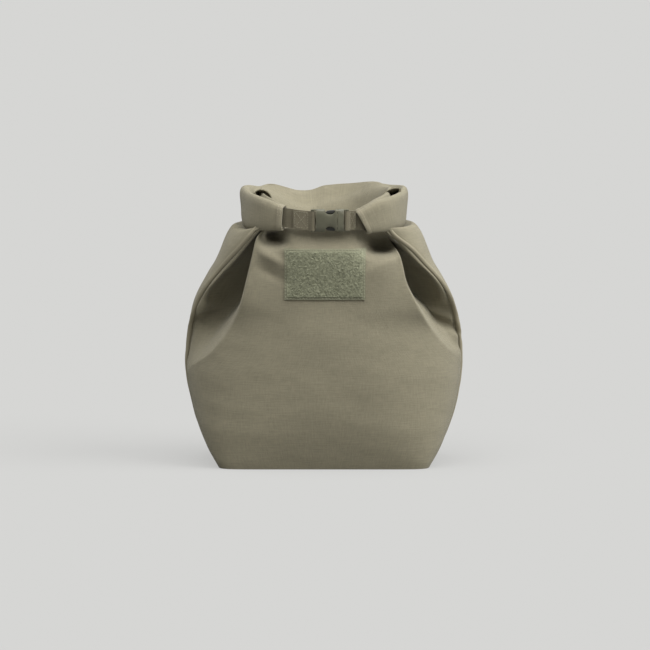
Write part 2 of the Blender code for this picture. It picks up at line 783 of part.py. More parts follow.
def make_plug(pivot):
    stations = []
    for k in range(MOULD_STEPS + 1):
        share = k / MOULD_STEPS
        thickness = lerp(PLUG_MOUTH_THICKNESS, PLUG_BAR_THICKNESS, smooth(share))
        stations.append((lerp(PLUG_FACE_X, PLUG_BACK_X, share), thickness / 2, BUCKLE_HALF))
    plug = moulded("buckle_plug", stations, PLASTIC, pivot)
    add_webbing_bar(plug, PLUG_BACK_X, PLUG_BAR_X)
    tip = PLUG_FACE_X - GUIDE_LENGTH
    guide = [
        (tip, GUIDE_HALF_THICKNESS * GUIDE_TIP_SHARE, GUIDE_HALF_HEIGHT * GUIDE_TIP_SHARE),
        (tip + GUIDE_HALF_HEIGHT, GUIDE_HALF_THICKNESS, GUIDE_HALF_HEIGHT),
        (PLUG_FACE_X + PRONG_HINGE_INSET, GUIDE_HALF_THICKNESS, GUIDE_HALF_HEIGHT),
    ]
    boolean(plug, "UNION", moulded("plug_guide", guide, PLASTIC))
    room = PRONG_ROOT_RADIUS + CLEARANCE
    for side in (-1, 1):
        middle = STRAP_Z + side * PRONG_HINGE_UP
        half_y = PRONG_HALF_THICKNESS + CLEARANCE
        low = (PLUG_FACE_X - room, BUCKLE_Y - half_y, middle - room)
        high = (PRONG_HINGE_X + room, BUCKLE_Y + half_y, middle + room)
        boolean(plug, "DIFFERENCE", box("prong_pocket", low, high, PLASTIC))


def make_prong(name, side, pivot):
    """An arm with a round root, a latching shoulder and a curved button that shows in the scoop."""
    up = PRONG_HINGE_UP
    shoulder = SOCKET_MOUTH_X - PRONG_SHOULDER_FROM_MOUTH
    button = CAVITY_HALF + PRONG_BUTTON_PROUD
    button_end = shoulder - PRONG_BUTTON_LENGTH
    tip = button_end - PRONG_TIP_LENGTH
    arm_half = PRONG_ROOT_RADIUS * PRONG_ARM_SHARE
    outline = []
    for k in range(ARC_STEPS + 1):
        angle = PRONG_ROOT_ARC * (k / ARC_STEPS - 0.5)
        along, across = PRONG_ROOT_RADIUS * math.cos(angle), PRONG_ROOT_RADIUS * math.sin(angle)
        outline.append((PRONG_HINGE_X + along, up + across))
    outline += [(PLUG_FACE_X, up + arm_half), (shoulder + CLEARANCE, up + arm_half), (shoulder, button)]
    for k in range(1, MOULD_STEPS + 1):
        share = k / MOULD_STEPS
        outline.append((lerp(shoulder, button_end, share), lerp(button, up + arm_half, 1 - math.cos(share))))
    outline += [(tip, up), (tip, up - PRONG_TIP_HEIGHT), (PLUG_FACE_X, up - arm_half)]
    rings = []
    for y in (-PRONG_HALF_THICKNESS, PRONG_HALF_THICKNESS):
        rings.append([Vector((x, BUCKLE_Y + y, STRAP_Z + side * z)) for x, z in outline])
    loft(name, rings, PLASTIC, pivot)


make_base_panel()
make_front_panel()
make_back_panel()
make_base_tape()
for word, side in (("left", -1), ("right", 1)):
    make_side_seam(f"side_seam_{word}", side)
    make_side_tape(f"seam_tape_{word}", side)
PATCH_LIFT = FABRIC + PATCH_CLEARANCE
make_patch("patch_backing", 0.0, PATCH_LIFT, PATCH_BACKING, PATCH)
make_patch("patch_pile", PATCH_BORDER, PATCH_LIFT + PATCH_BACKING + CLEARANCE, PATCH_PILE, PILE)

left_pivot = pivot_empty("left_roll_pivot", (0.0, PIVOT_Y, ROLL_BOTTOM))
right_pivot = pivot_empty("right_roll_pivot", (0.0, PIVOT_Y, ROLL_BOTTOM))
for word, side, pivot in (("left", -1, left_pivot), ("right", 1, right_pivot)):
    make_roll(f"roll_{word}", side, pivot)
    make_binding(f"end_binding_{word}", side, pivot)
    make_stiffener(f"mouth_stiffener_{word}", side, pivot)
make_tab("webbing_left", -1, SOCKET_BAR_X, LEFT_TAB_DOUBLE, left_pivot)
make_tab("webbing_right", 1, PLUG_BAR_X, RIGHT_TAB_DOUBLE, right_pivot)
make_socket(left_pivot)
make_plug(right_pivot)
for word, side in (("upper", 1), ("lower", -1)):
    hinge = (PRONG_HINGE_X, BUCKLE_Y, STRAP_Z + side * PRONG_HINGE_UP)
    make_prong(f"prong_{word}", side, pivot_empty(f"{word}_prong_pivot", hinge, right_pivot))
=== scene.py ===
import math
import random
import bpy
import numpy as np
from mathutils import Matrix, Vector, noise


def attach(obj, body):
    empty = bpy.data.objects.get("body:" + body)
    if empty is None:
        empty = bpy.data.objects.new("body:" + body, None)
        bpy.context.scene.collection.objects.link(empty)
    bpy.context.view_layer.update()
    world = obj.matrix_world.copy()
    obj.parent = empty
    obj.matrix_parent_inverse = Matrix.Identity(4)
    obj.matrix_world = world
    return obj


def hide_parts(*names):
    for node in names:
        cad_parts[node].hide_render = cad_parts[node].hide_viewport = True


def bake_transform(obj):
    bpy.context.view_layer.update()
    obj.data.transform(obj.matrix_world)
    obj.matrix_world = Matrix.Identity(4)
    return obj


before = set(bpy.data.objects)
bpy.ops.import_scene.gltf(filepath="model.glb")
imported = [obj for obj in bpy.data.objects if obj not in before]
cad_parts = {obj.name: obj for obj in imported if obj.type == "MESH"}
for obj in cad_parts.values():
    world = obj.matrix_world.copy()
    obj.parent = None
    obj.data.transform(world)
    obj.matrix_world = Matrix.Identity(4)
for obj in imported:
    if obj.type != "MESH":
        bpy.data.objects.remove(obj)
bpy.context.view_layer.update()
scene = bpy.context.scene
mm = 0.001
sideWord = {-1: "left", 1: "right"}


# small helpers
def cubic(t, a, aWay, b, bWay):  # from a to b, leaving and arriving along the two ways
    return (
        (2 * t**3 - 3 * t**2 + 1) * a + (t**3 - 2 * t**2 + t) * aWay
        + (3 * t**2 - 2 * t**3) * b + (t**3 - t**2) * bWay
    )


def curveAt(place, knots):  # smooth line through (place, value) knots
    xs, ys = np.array(knots, float).T
    slope = np.gradient(ys, xs)
    p = np.clip(np.asarray(place, float), xs[0], xs[-1])
    i = np.clip(np.searchsorted(xs, p, side="right") - 1, 0, len(xs) - 2)
    h = xs[i + 1] - xs[i]
    return cubic((p - xs[i]) / h, ys[i], h * slope[i], ys[i + 1], h * slope[i + 1])


def curvesAt(place, shape):  # all the lines of a shape, each read at one place
    return {key: float(curveAt(place, value)) for key, value in shape.items() if isinstance(value, list)}


def ease(t):
    t = np.clip(t, 0.0, 1.0)
    return t * t * (3 - 2 * t)


def hump(x, middle, width):
    return np.exp(-(((np.asarray(x, float) - middle) / width) ** 2))


def softened(grid, passes, axis, closed=False):  # averages a grid of points along one way
    for _ in range(passes):
        out = 0.25 * np.roll(grid, 1, axis) + 0.5 * grid + 0.25 * np.roll(grid, -1, axis)
        if not closed:  # the ends are kept
            ends = (slice(None),) * axis + ([0, -1],)
            out[ends] = grid[ends]
        grid = out
    return grid


def gridNormals(grid):  # along columns crossed with up the rows
    du = np.gradient(grid, axis=1)
    dv = np.gradient(grid, axis=0)
    n = np.cross(du, dv)
    return n / np.maximum(np.linalg.norm(n, axis=2, keepdims=True), 1e-12)


def rounded(a, b, n):  # length that puts the direction a, b on a rounded square of power n
    return (abs(a) ** n + abs(b) ** n) ** (-1 / n)


def wrinkle(points, scale, seed):  # soft noise read at each point, -1 to 1
    shift = Vector((seed, seed * 1.7, seed * 0.6))
    out = [noise.noise(Vector(p / np.array(scale, float)) + shift) for p in points.reshape(-1, 3)]
    return np.array(out).reshape(points.shape[:-1])


def quadFaces(rows, cols, closed):  # faces over points that lie row by row
    faces = []
    for r in range(rows - 1):
        for c in range(cols if closed else cols - 1):
            d = (c + 1) % cols
            faces.append((r * cols + c, r * cols + d, (r + 1) * cols + d, (r + 1) * cols + c))
    return faces


def newPiece(name, verts, faces, look):
    mesh = bpy.data.meshes.new(name)
    mesh.from_pydata(verts, [], faces)
    made = bpy.data.objects.new(name, mesh)
    scene.collection.objects.link(made)
    mesh.materials.append(look)
    return made


def pick(made):  # the one object that the next operators work on
    bpy.ops.object.select_all(action="DESELECT")
    bpy.context.view_layer.objects.active = made
    made.select_set(True)


def applyAll(made):
    pick(made)
    for mod in list(made.modifiers):
        bpy.ops.object.modifier_apply(modifier=mod.name)
    made.select_set(False)


def thicken(made, thick, offset=-1.0):
    wall = made.modifiers.new("thickness", "SOLIDIFY")
    wall.thickness = thick * mm
    wall.offset = offset
    applyAll(made)


def smoothBy(made, degrees):  # edges sharper than this stay crisp
    pick(made)
    bpy.ops.object.shade_smooth_by_angle(angle=math.radians(degrees))
    made.select_set(False)


def faceOut(made):
    pick(made)
    bpy.ops.object.mode_set(mode="EDIT")
    bpy.ops.mesh.select_all(action="SELECT")
    bpy.ops.mesh.normals_make_consistent(inside=False)
    bpy.ops.object.mode_set(mode="OBJECT")


def clothSheet(name, grid, look, thick=0.0, offset=-1.0, closed=False):  # a sheet over a grid of points in mm
    rows, cols = grid.shape[:2]
    made = newPiece(name, (grid.reshape(-1, 3) * mm).tolist(), quadFaces(rows, cols, closed), look)
    mesh = made.data
    stepU = np.linalg.norm(np.diff(grid, axis=1), axis=2).mean(0)
    stepV = np.linalg.norm(np.diff(grid, axis=0), axis=2).mean(1)
    us, vs = (np.concatenate([[0], np.cumsum(steps)]) for steps in (stepU, stepV))
    us = us - us.mean()
    layer = mesh.uv_layers.new(name="cloth")
    loops = np.empty(len(mesh.loops), np.int32)
    mesh.loops.foreach_get("vertex_index", loops)
    uv = np.stack([us[loops % cols], vs[loops // cols]], 1) * 0.01  # one UV unit is 100 mm
    layer.data.foreach_set("uv", uv.astype(np.float32).ravel())
    mesh.shade_smooth()
    if thick:
        thicken(made, thick, offset)
        smoothBy(made, 60)
    return made


def tubeLoft(name, rings, look):  # rings of points in mm, joined into one body with flat ends
    count, last = len(rings[0]), len(rings) - 1
    verts = (np.reshape(rings, (-1, 3)) * mm).tolist()
    faces = quadFaces(len(rings), count, True)
    faces.append(tuple(range(count))[::-1])
    faces.append(tuple(range(last * count, (last + 1) * count)))
    made = newPiece(name, verts, faces, look)
    faceOut(made)
    smoothBy(made, 45)
    return made


def alongLine(line):  # distance of each point from the first
    return np.concatenate([[0], np.cumsum(np.linalg.norm(np.diff(line, axis=0), axis=1))])


def lineAt(place, far, line):
    return np.array([np.interp(place, far, line[:, k]) for k in range(line.shape[1])])


def addCopy(verts, faces, shape, at, ways):  # of a small shape, set at a point in mm along three ways
    first = len(verts)
    for a, b, c in shape[0]:
        verts.append(tuple((at + ways[0] * a + ways[1] * b + ways[2] * c) * mm))
    faces += [tuple(i + first for i in f) for f in shape[1]]


def setInputs(tree, node, inputs):  # another node's socket is linked, a value is set
    for key, value in inputs.items():
        if hasattr(value, "is_linked"):
            tree.links.new(value, node.inputs[key])
        else:
            node.inputs[key].default_value = value


def addNode(tree, kind, inputs, **settings):
    node = tree.nodes.new("ShaderNode" + kind)
    for key, value in settings.items():
        setattr(node, key, value)
    setInputs(tree, node, inputs)
    return node


def mathNode(tree, what, *values, clamp=False):
    return addNode(tree, "Math", dict(enumerate(values)), operation=what, use_clamp=clamp).outputs[0]


# camera, light and floor
studio = {
    "lens": 340.0,
    "distance": 6.16,
    "elevation": 7.0,
    "aim": (0.001, 0.0, 0.137),
    "paper": (0.665, 0.665, 0.651),
    "sky": 0.14,
    "keyLamp": (3.5, 40, (1.1, -0.42, 1.0)),  # strength, softness in degrees, where the light comes from
    "topLamp": (4.35, 60, (-0.05, -0.22, 1.0)),
    "floorSize": 30,
    "floorDrop": 0.0002,
    "floorSeen": (0.311, 0.311, 0.305),
    "floorGlow": 0.72,  # share of the seen floor that doesn't take a shadow
    "floorUnseen": (0.26, 0.26, 0.255),  # what the object is lit by
}
aim = Vector(studio["aim"])
tilt = math.radians(studio["elevation"])
camData = bpy.data.cameras.new("camera")
camData.lens = studio["lens"]
camData.sensor_width = 36.0
camera = bpy.data.objects.new("camera", camData)
scene.collection.objects.link(camera)
camera.location = aim + Vector((0, -math.cos(tilt), math.sin(tilt))) * studio["distance"]
camera.rotation_euler = (aim - camera.location).to_track_quat("-Z", "Y").to_euler()
scene.camera = camera
scene.view_settings.view_transform = "Standard"


for name in ("keyLamp", "topLamp"):
    strength, softness, fromWhere = studio[name]
    lampData = bpy.data.lights.new(name, "SUN")
    lampData.energy = strength
    lampData.angle = math.radians(softness)
    lamp = bpy.data.objects.new(name, lampData)
    scene.collection.objects.link(lamp)
    lamp.rotation_euler = (-Vector(fromWhere)).to_track_quat("-Z", "Y").to_euler()


def seenDirectly(tree):  # 1 for what the camera sees, also in a reflection or through something clear
    path = addNode(tree, "LightPath", {}).outputs
    both = mathNode(tree, "ADD", path["Is Camera Ray"], path["Is Glossy Ray"], clamp=True)
    return mathNode(tree, "ADD", both, path["Is Transmission Ray"], clamp=True)


def plainShader(tree, kind, colour, **more):
    return addNode(tree, kind, {"Color": (*colour, 1), **more}).outputs[0]


def mixShaders(tree, share, first, second):
    return addNode(tree, "MixShader", {0: share, 1: first, 2: second}).outputs[0]


world = bpy.data.worlds.new("paleStudio")
scene.world = world
world.use_nodes = True
wn = world.node_tree
wn.nodes.clear()
wLight = plainShader(wn, "Background", (1, 1, 1), Strength=studio["sky"])
wPaper = plainShader(wn, "Background", studio["paper"])
addNode(wn, "OutputWorld", {"Surface": mixShaders(wn, seenDirectly(wn), wLight, wPaper)})

bpy.ops.mesh.primitive_plane_add(size=studio["floorSize"], location=(0, 0, -studio["floorDrop"]))
floor = bpy.context.object
floor.name = "floor"
floorLook = bpy.data.materials.new("paleFloor")
floorLook.use_nodes = True
ft = floorLook.node_tree
ft.nodes.clear()
fPale = plainShader(ft, "BsdfDiffuse", studio["floorSeen"])
fGlow = plainShader(ft, "Emission", studio["paper"])
fSeen = mixShaders(ft, studio["floorGlow"], fPale, fGlow)
fDull = plainShader(ft, "BsdfDiffuse", studio["floorUnseen"])
addNode(ft, "OutputMaterial", {"Surface": mixShaders(ft, seenDirectly(ft), fDull, fSeen)})
floor.data.materials.append(floorLook)
print("camera, light and floor are set")


# looks
def newGroup(name, ins, outs):
    group = bpy.data.node_groups.new(name, "ShaderNodeTree")
    for label, kind, value in ins:
        group.interface.new_socket(name=label, in_out="INPUT", socket_type=kind).default_value = value
    for label, kind in outs:
        group.interface.new_socket(name=label, in_out="OUTPUT", socket_type=kind)
    return group, group.nodes.new("NodeGroupInput"), group.nodes.new("NodeGroupOutput")


def noiseNode(tree, vector, scale, detail=2.0, rough=0.5):
    inputs = {"Vector": vector, "Scale": scale, "Detail": detail, "Roughness": rough}
    return addNode(tree, "TexNoise", inputs).outputs["Fac"]


def stretched(tree, vector, size):
    return addNode(tree, "Mapping", {"Vector": vector, "Scale": size}).outputs[0]


def makeWeaveGroup():  # plain weave from a UV map: height for the bump, and a shade that varies with yarn
    group, gin, gout = newGroup(
        "plainWeave",
        [("UV", "NodeSocketVector", (0, 0, 0)), ("Yarns", "NodeSocketFloat", 150.0)],
        [("Height", "NodeSocketFloat"), ("Shade", "NodeSocketFloat")],
    )
    split = addNode(group, "SeparateXYZ", {0: gin.outputs["UV"]}).outputs
    turn = mathNode(group, "MULTIPLY", gin.outputs["Yarns"], math.pi)
    warp, weft = (mathNode(group, "SINE", mathNode(group, "MULTIPLY", split[k], turn)) for k in (0, 1))
    over = mathNode(group, "MULTIPLY", mathNode(group, "MULTIPLY", warp, weft), 0.35)
    lift = mathNode(group, "ADD", mathNode(group, "ABSOLUTE", warp), mathNode(group, "ABSOLUTE", weft))
    slubA = noiseNode(group, stretched(group, gin.outputs["UV"], (9, 85, 1)), 1.0)
    slubB = noiseNode(group, stretched(group, gin.outputs["UV"], (85, 11, 1)), 1.0)
    both = mathNode(group, "ADD", mathNode(group, "MULTIPLY", slubA, 0.55), mathNode(group, "MULTIPLY", slubB, 0.45))
    setInputs(group, gout, {"Height": mathNode(group, "ADD", over, lift), "Shade": both})
    return group


def makeWearGroup():  # large soft patches and fine dust, read in object space
    group, gin, gout = newGroup(
        "softWear",
        [("Place", "NodeSocketVector", (0, 0, 0)), ("Patch", "NodeSocketFloat", 18.0)],
        [("Patches", "NodeSocketFloat"), ("Dust", "NodeSocketFloat")],
    )
    place = gin.outputs["Place"]
    scaled = addNode(group, "VectorMath", {0: place, "Scale": gin.outputs["Patch"]}, operation="SCALE").outputs[0]
    dust = noiseNode(group, place, 900.0, 2.0, 0.7)
    setInputs(group, gout, {"Patches": noiseNode(group, scaled, 1.0, 3.0), "Dust": dust})
    return group


weaveGroup = makeWeaveGroup()
wearGroup = makeWearGroup()


def newLook(name, patch):  # a material with the wear that all looks share
    look = bpy.data.materials.new(name)
    look.use_nodes = True
    tree = look.node_tree
    coord = addNode(tree, "TexCoord", {}).outputs
    wear = addNode(tree, "Group", {"Place": coord["Object"], "Patch": patch}, node_tree=wearGroup).outputs
    return look, tree, coord, wear


def tinted(tree, colour, tone):
    inputs = {0: 1.0, 6: (*colour, 1), 7: tone}
    return addNode(tree, "Mix", inputs, data_type="RGBA", blend_type="MULTIPLY").outputs[2]


def bumped(tree, height, strength, distance):
    return addNode(tree, "Bump", {"Strength": strength, "Distance": distance, "Height": height}).outputs[0]


def clothLook(name, colour, yarns, roughness, bump, slub=0.5, sheen=0.12):
    look, tree, coord, wear = newLook(name, 22.0)
    weave = addNode(tree, "Group", {"UV": coord["UV"], "Yarns": yarns}, node_tree=weaveGroup).outputs
    shade = mathNode(tree, "MULTIPLY_ADD", weave["Shade"], slub, 1.0 - slub * 0.5)
    patches = mathNode(tree, "MULTIPLY_ADD", wear["Patches"], 0.16, 0.92)
    height = mathNode(tree, "ADD", weave["Height"], mathNode(tree, "MULTIPLY", weave["Shade"], 1.5))
    setInputs(tree, tree.nodes["Principled BSDF"], {
        "Base Color": tinted(tree, colour, mathNode(tree, "MULTIPLY", shade, patches)),
        "Roughness": mathNode(tree, "MULTIPLY_ADD", wear["Dust"], 0.15, roughness - 0.07),
        "Sheen Weight": sheen,
        "Sheen Roughness": 0.5,
        "Specular IOR Level": 0.2,
        "Normal": bumped(tree, height, bump, 0.0003),
    })
    return look


threadKind = (400.0, 0.7, 0.2, 0.3, 0.1)
canvasLook = clothLook("coatedCanvas", (0.218, 0.198, 0.136), 150.0, 0.85, 0.6, 0.65)
ridgeLook = clothLook("seamCanvas", (0.235, 0.212, 0.148), 150.0, 0.85, 0.6)
tapeLook = clothLook("seamTape", (0.36, 0.36, 0.35), 90.0, 0.5, 0.2, 0.2, 0.0)
threadLook = clothLook("sewingThread", (0.30, 0.275, 0.20), *threadKind)
stripLook = clothLook("stiffStrip", (0.05, 0.05, 0.045), 60.0, 0.4, 0.1, 0.1, 0.0)
patchLook = clothLook("patchCloth", (0.213, 0.213, 0.143), 150.0, 0.85, 0.5)
pileLook = clothLook("loopPile", (0.236, 0.241, 0.160), 120.0, 0.95, 0.6, 0.6, 0.25)
patchThreadLook = clothLook("patchThread", (0.27, 0.27, 0.19), *threadKind)
webbingLook = clothLook("ribbedWebbing", (0.155, 0.138, 0.092), 90.0, 0.8, 1.0, 0.7)
webbingThreadLook = clothLook("webbingThread", (0.24, 0.22, 0.155), *threadKind)


def mouldedLook(name, colour):
    look, tree, coord, wear = newLook(name, 160.0)
    setInputs(tree, tree.nodes["Principled BSDF"], {
        "Base Color": tinted(tree, colour, mathNode(tree, "MULTIPLY_ADD", wear["Patches"], 0.3, 0.85)),
        "Roughness": mathNode(tree, "MULTIPLY_ADD", wear["Dust"], 0.25, 0.38),
        "Specular IOR Level": 0.4,
        "Normal": bumped(tree, noiseNode(tree, coord["Object"], 2600.0), 0.25, 0.0002),
    })
    return look


plasticLook = mouldedLook("bucklePlastic", (0.085, 0.083, 0.054))
# the prongs' near-black colour is partly their plastic and partly painted shade: it makes the buckle's side windows as
# dark as a shadowed gap
prongShadeLook = mouldedLook("prongPlasticAsShade", (0.014, 0.014, 0.011))
print("looks are made")


# body of the bag
bodyShape = {  # mm, by height
    "halfWidth": [(0, 105.5), (20, 117.5), (41, 126.5), (62, 132.5), (85, 136.8), (105, 138), (125, 137), (145, 134.8),
                  (165, 129.5), (185, 119.5), (205, 108), (222, 98.5), (236, 89)],
    "front": [(0, 64), (15, 68), (40, 73.5), (75, 77), (100, 77.5), (130, 76.8), (150, 75.4), (165, 74), (180, 72),
              (195, 69.8), (205, 68.4), (213, 66.6), (220, 64.8), (228, 62.8), (236, 61)],
    "back": [(0, 64), (40, 73), (75, 76.5), (100, 77), (150, 76.5), (190, 75), (215, 72), (236, 69)],
    "square": [(0, 11), (8, 8.5), (20, 5.8), (40, 4.0), (70, 2.9), (100, 2.5), (236, 2.2)],
    "creaseXleft": [(90, 136), (94, 134), (104, 125), (116, 113), (130, 102), (143, 93.5), (155, 87.5), (163, 84.5),
                    (180, 80), (199, 75.5), (213, 71.5), (226, 66), (236, 55)],
    "creaseXright": [(98, 137), (107, 134), (123, 120), (142, 106), (165, 94), (180, 86.5), (189, 82.5), (203, 79.5),
                     (212, 76), (219, 69), (226, 63), (236, 54)],
    "creaseY": [(95, 42), (140, 57), (150, 60.5), (165, 64.5), (180, 65.5), (199, 63), (213, 60), (226, 56), (236, 54)],
    "valleyBehind": [(95, 3), (106, 9), (115, 18), (125, 28), (140, 42), (150, 50), (165, 57), (180, 59), (199, 52),
                     (213, 36), (226, 18), (236, 4)],
    "valleyAside": [(95, 1), (106, 3), (115, 6), (125, 8), (140, 8), (150, 4), (165, -3), (180, -7), (199, -8),
                    (213, -7), (226, -4), (236, -1)],
    "seamXleft": [(95, 138), (122, 136.8), (135, 135.3), (150, 132.2), (165, 126.3), (188, 111.5), (200, 102),
                  (209, 94), (219, 82), (227, 70), (236, 57)],
    "seamXright": [(95, 138), (122, 136.8), (135, 135.5), (148, 133), (162, 129.5), (183, 119), (199, 106), (209, 95),
                   (216, 85), (223, 70), (236, 57)],
    "seamY": [(95, 0), (122, 3), (135, 7), (152, 14), (165, 20), (183, 30), (200, 39), (209, 44.5), (219, 50.5),
              (226, 54.5), (236, 58)],
    "stripLeft": [(95, 0), (141, 0), (146, 0.1), (151, 0.75), (157, 1), (212, 1), (224, 0.6), (236, 0.1)],
    "stripRight": [(95, 0), (157, 0), (161, 0.1), (166, 0.75), (172, 1), (212, 1), (224, 0.6), (236, 0.1)],
    "strip": (9.0, 3.0),  # width beside the seam, and how far it stands forward
    "foldStart": (88.0, 92.0),  # left, right
    "foldFull": (112.0, 118.0),
    "top": 232.5,
    "angles": (70, 80, 90),  # degrees round the plain plan at the crease, the valley and the seam
    "spread": (0.92, 1.35, 2.3),  # powers of the plain columns, the drawn columns and the drawn front's curve
    "drawn": (125, 35),  # height from which the front is drawn to its crease, and over how far
    "pocket": (0.66, 1.5, 0.2, 1.6),  # its share of the columns, x and y of its deepest point, bow of the strip
    "sideTurn": (0.25, 0.22),  # the widest point's y as a share of the seam's, and its share of the back columns
    "backFill": (0.35, 105, 70),  # how much fuller the back gets, from which height and over how far
    "columns": (46, 20, 28, 60),  # centre to crease, to valley, to seam, to the middle of the back
    "rows": 140,
    "capRows": 18,
    "mouthZ": 233.6,
    "mouthTo": (172.0, 0.75, 0.2),  # how far it goes along the roll, and the shares where its corners start and rise
    "mouthIn": 2.5,  # how far the collar's front corners reach up into the roll
    "thick": 1.1,
}
nFront, nFold, nSeam, nBack = bodyShape["columns"]
halfCount = sum(bodyShape["columns"])


def plainPlan(got, angle):  # the bag with no folds, as x, y
    a, b = np.sin(angle), np.cos(angle)
    reach = rounded(a, b, got["square"])
    return np.stack([got["halfWidth"] * a * reach, -np.where(b > 0, got["front"], got["back"]) * b * reach], -1)


def plainFront(got, x):  # how far forward the unfolded front is
    n = got["square"]
    return -got["front"] * (1 - np.clip(np.abs(x) / got["halfWidth"], 0, 1) ** n) ** (1 / n)


def halfPlan(z, side):  # one side's plan from the front middle to the back middle
    word = sideWord[side]
    got = curvesAt(z, bodyShape)
    creaseX, seamX = got["creaseX" + word], got["seamX" + word]
    toCrease, toValley, toSeam = bodyShape["angles"]
    plainPower, drawnPower, curvePower = bodyShape["spread"]
    even = np.linspace(0, 1, nFront, endpoint=False)
    angles = np.radians(np.concatenate([
        toCrease * even**plainPower,
        np.linspace(toCrease, toValley, nFold, endpoint=False),
        np.linspace(toValley, toSeam, nSeam, endpoint=False),
        np.linspace(toSeam, 180, nBack + 1),
    ]))
    plain = plainPlan(got, angles)
    low, over = bodyShape["drawn"]
    drawn = ease((z - low) / over)  # below this the front keeps its plain curve as far as the crease
    creaseY = plainFront(got, creaseX) * (1 - drawn) - got["creaseY"] * drawn
    xs = creaseX * (1 - (1 - even) ** drawnPower)
    curved = -got["front"] + (got["front"] + creaseY) * (xs / creaseX) ** curvePower
    front = np.stack([xs, plainFront(got, xs) * (1 - drawn) + curved * drawn], -1)
    crease = np.array([creaseX, creaseY])
    valley = crease + np.array([got["valleyAside"], got["valleyBehind"]])
    seam = np.array([seamX, -got["seamY"]])
    u = np.linspace(0, 1, nFold, endpoint=False)[:, None]
    fold = crease + (valley - crease) * u
    u = np.linspace(0, 1, nSeam, endpoint=False)[:, None]
    rise = valley + (seam - valley) * u
    edge = seam - np.array(bodyShape["strip"])  # the strip beside the seam ends here and turns back into the valley
    share, deepX, deepY, bowed = bodyShape["pocket"]
    deep = np.array([edge[0] + deepX, valley[1] + deepY * (edge[1] - valley[1])])
    a, b = np.clip(u / share, 0, 1), np.clip((u - share) / (1 - share), 0, 1)
    pocket = valley * (1 - a) ** 2 + deep * 2 * a * (1 - a) + edge * a**2
    pocket = pocket + (seam - edge) * b - np.array([0.0, bowed]) * np.sin(math.pi * b)
    rise = rise + (pocket - rise) * got["strip" + word.title()]
    t = np.linspace(0, 1, nBack + 1)
    sideShare, share = bodyShape["sideTurn"]  # from the seam out to the widest point, then round the back
    widest, sideY = got["halfWidth"], -got["seamY"] * sideShare
    out = np.clip(t / share, 0, 1) * math.pi / 2
    bow = np.stack([
        seamX + (widest - seamX) * np.sin(out),
        -got["seamY"] + (sideY + got["seamY"]) * (1 - np.cos(out)),
    ], -1)
    turn = np.clip((t - share) / (1 - share), 0, 1) * math.pi / 2
    fuller, low, over = bodyShape["backFill"]
    c, s = np.cos(turn), np.sin(turn)
    reach = rounded(c, s, got["square"] + fuller * ease((z - low) / over))
    behind = np.stack([widest * c * reach, sideY + (got["back"] - sideY) * s * reach], -1)
    folded = np.concatenate([front, fold, rise, np.where(t[:, None] < share, bow, behind)])
    start, full = bodyShape["foldStart"][side > 0], bodyShape["foldFull"][side > 0]
    mixed = plain + (folded - plain) * ease((z - start) / (full - start))
    mixed[:, 0] *= side
    return mixed


rollShape = {  # mm; t runs along the roll from the middle of the back, left is negative
    "halfWidth": 70.5,
    "halfDepth": 66.0,
    "centreY": -2.0,
    "backSquare": 2.1,
    "frontSquare": 2.8,
    "ends": {-1: 39.5, 1: 36.5},
    "tip": 22.0,  # the plan is drawn as far as this x
    "frontFrom": 150,  # past this distance an arm runs across the front
    "top": [(-200, 257), (-182, 263.6), (-168, 269.3), (-150, 273.8), (-128, 276), (-110, 277.3), (-90, 277.3),
            (-75, 275.5), (-66, 273.5), (-50, 267.5), (-37, 260.5), (-24, 254.8), (-12, 254), (0, 258.5), (8, 260.3),
            (30, 267), (53, 274.6), (68, 275.5), (85, 277), (110, 277.5), (125, 275.5), (150, 273), (165, 269.5),
            (176, 264), (186, 257.8), (204, 250)],
    "bottom": [(-200, 240.5), (-185, 240), (-165, 238.3), (-130, 236.5), (-60, 235.4), (0, 235.2), (60, 235.4),
               (130, 236.5), (165, 236.5), (185, 236.3), (204, 236.3)],
    "halfThick": [(-200, 6.2), (-185, 6.8), (-150, 10.0), (-120, 13.0), (-80, 12.5), (-40, 11.5), (0, 11), (40, 11.5),
                  (80, 12.5), (120, 13.0), (150, 10.0), (185, 7.0), (204, 6.2)],
    "lean": [(-200, 0.0), (-160, -0.06), (-125, 0.02), (-100, 0.18), (-70, 0.42), (0, 0.6), (70, 0.42), (100, 0.18),
             (125, 0.02), (160, -0.06), (204, 0.0)],
    "groove": [(-200, 0), (-178, 0), (-158, 8), (-128, 20), (-95, 16), (-70, 0), (60, 0), (85, 9), (112, 20), (140, 14),
               (168, 0), (204, 0)],
    "grooveAt": [  # degrees round the section
        (-200, 190), (-128, 188), (-100, 196), (0, 196), (100, 186), (150, 178), (204, 178)],
    "grooveWide": 0.24,
    "square": [(-200, 3.6), (-150, 4.6), (-100, 4.0), (-50, 2.6), (0, 2.5), (50, 2.6), (100, 4.0), (150, 4.6),
               (204, 3.6)],
    "slant": (0.5, 5.5),  # how far the top of each end leans past its middle
    "turns": 2.7,
    "layer": 1.7,
    "turnPoints": 52,
    "stations": 104,
    "thick": 1.0,
    "innerBack": (1.0, 6.0),  # how far the inner layers stop short of each end
    "endZone": 45,  # over this distance the ends take on their slant
}


def rollLine(side):  # plan of one arm, from the middle of the back to its front end, with distances
    s = np.linspace(0, math.pi, 1600)
    power = np.where(s < math.pi / 2, rollShape["backSquare"], rollShape["frontSquare"])
    x = rollShape["halfWidth"] * np.sin(s) ** (2 / power)
    y = rollShape["centreY"] + rollShape["halfDepth"] * np.sign(np.cos(s)) * np.abs(np.cos(s)) ** (2 / power)
    keep = (s < math.pi / 2) | (x >= rollShape["tip"])
    line = np.stack([side * x[keep], y[keep]], -1)
    return line, alongLine(line)


def acrossFront(side, x):  # distance along an arm at which its front part is this far from the middle
    line, far = rollLines[side]
    front = far > rollShape["frontFrom"]
    return float(np.interp(-x, -np.abs(line[front, 0]), far[front]))


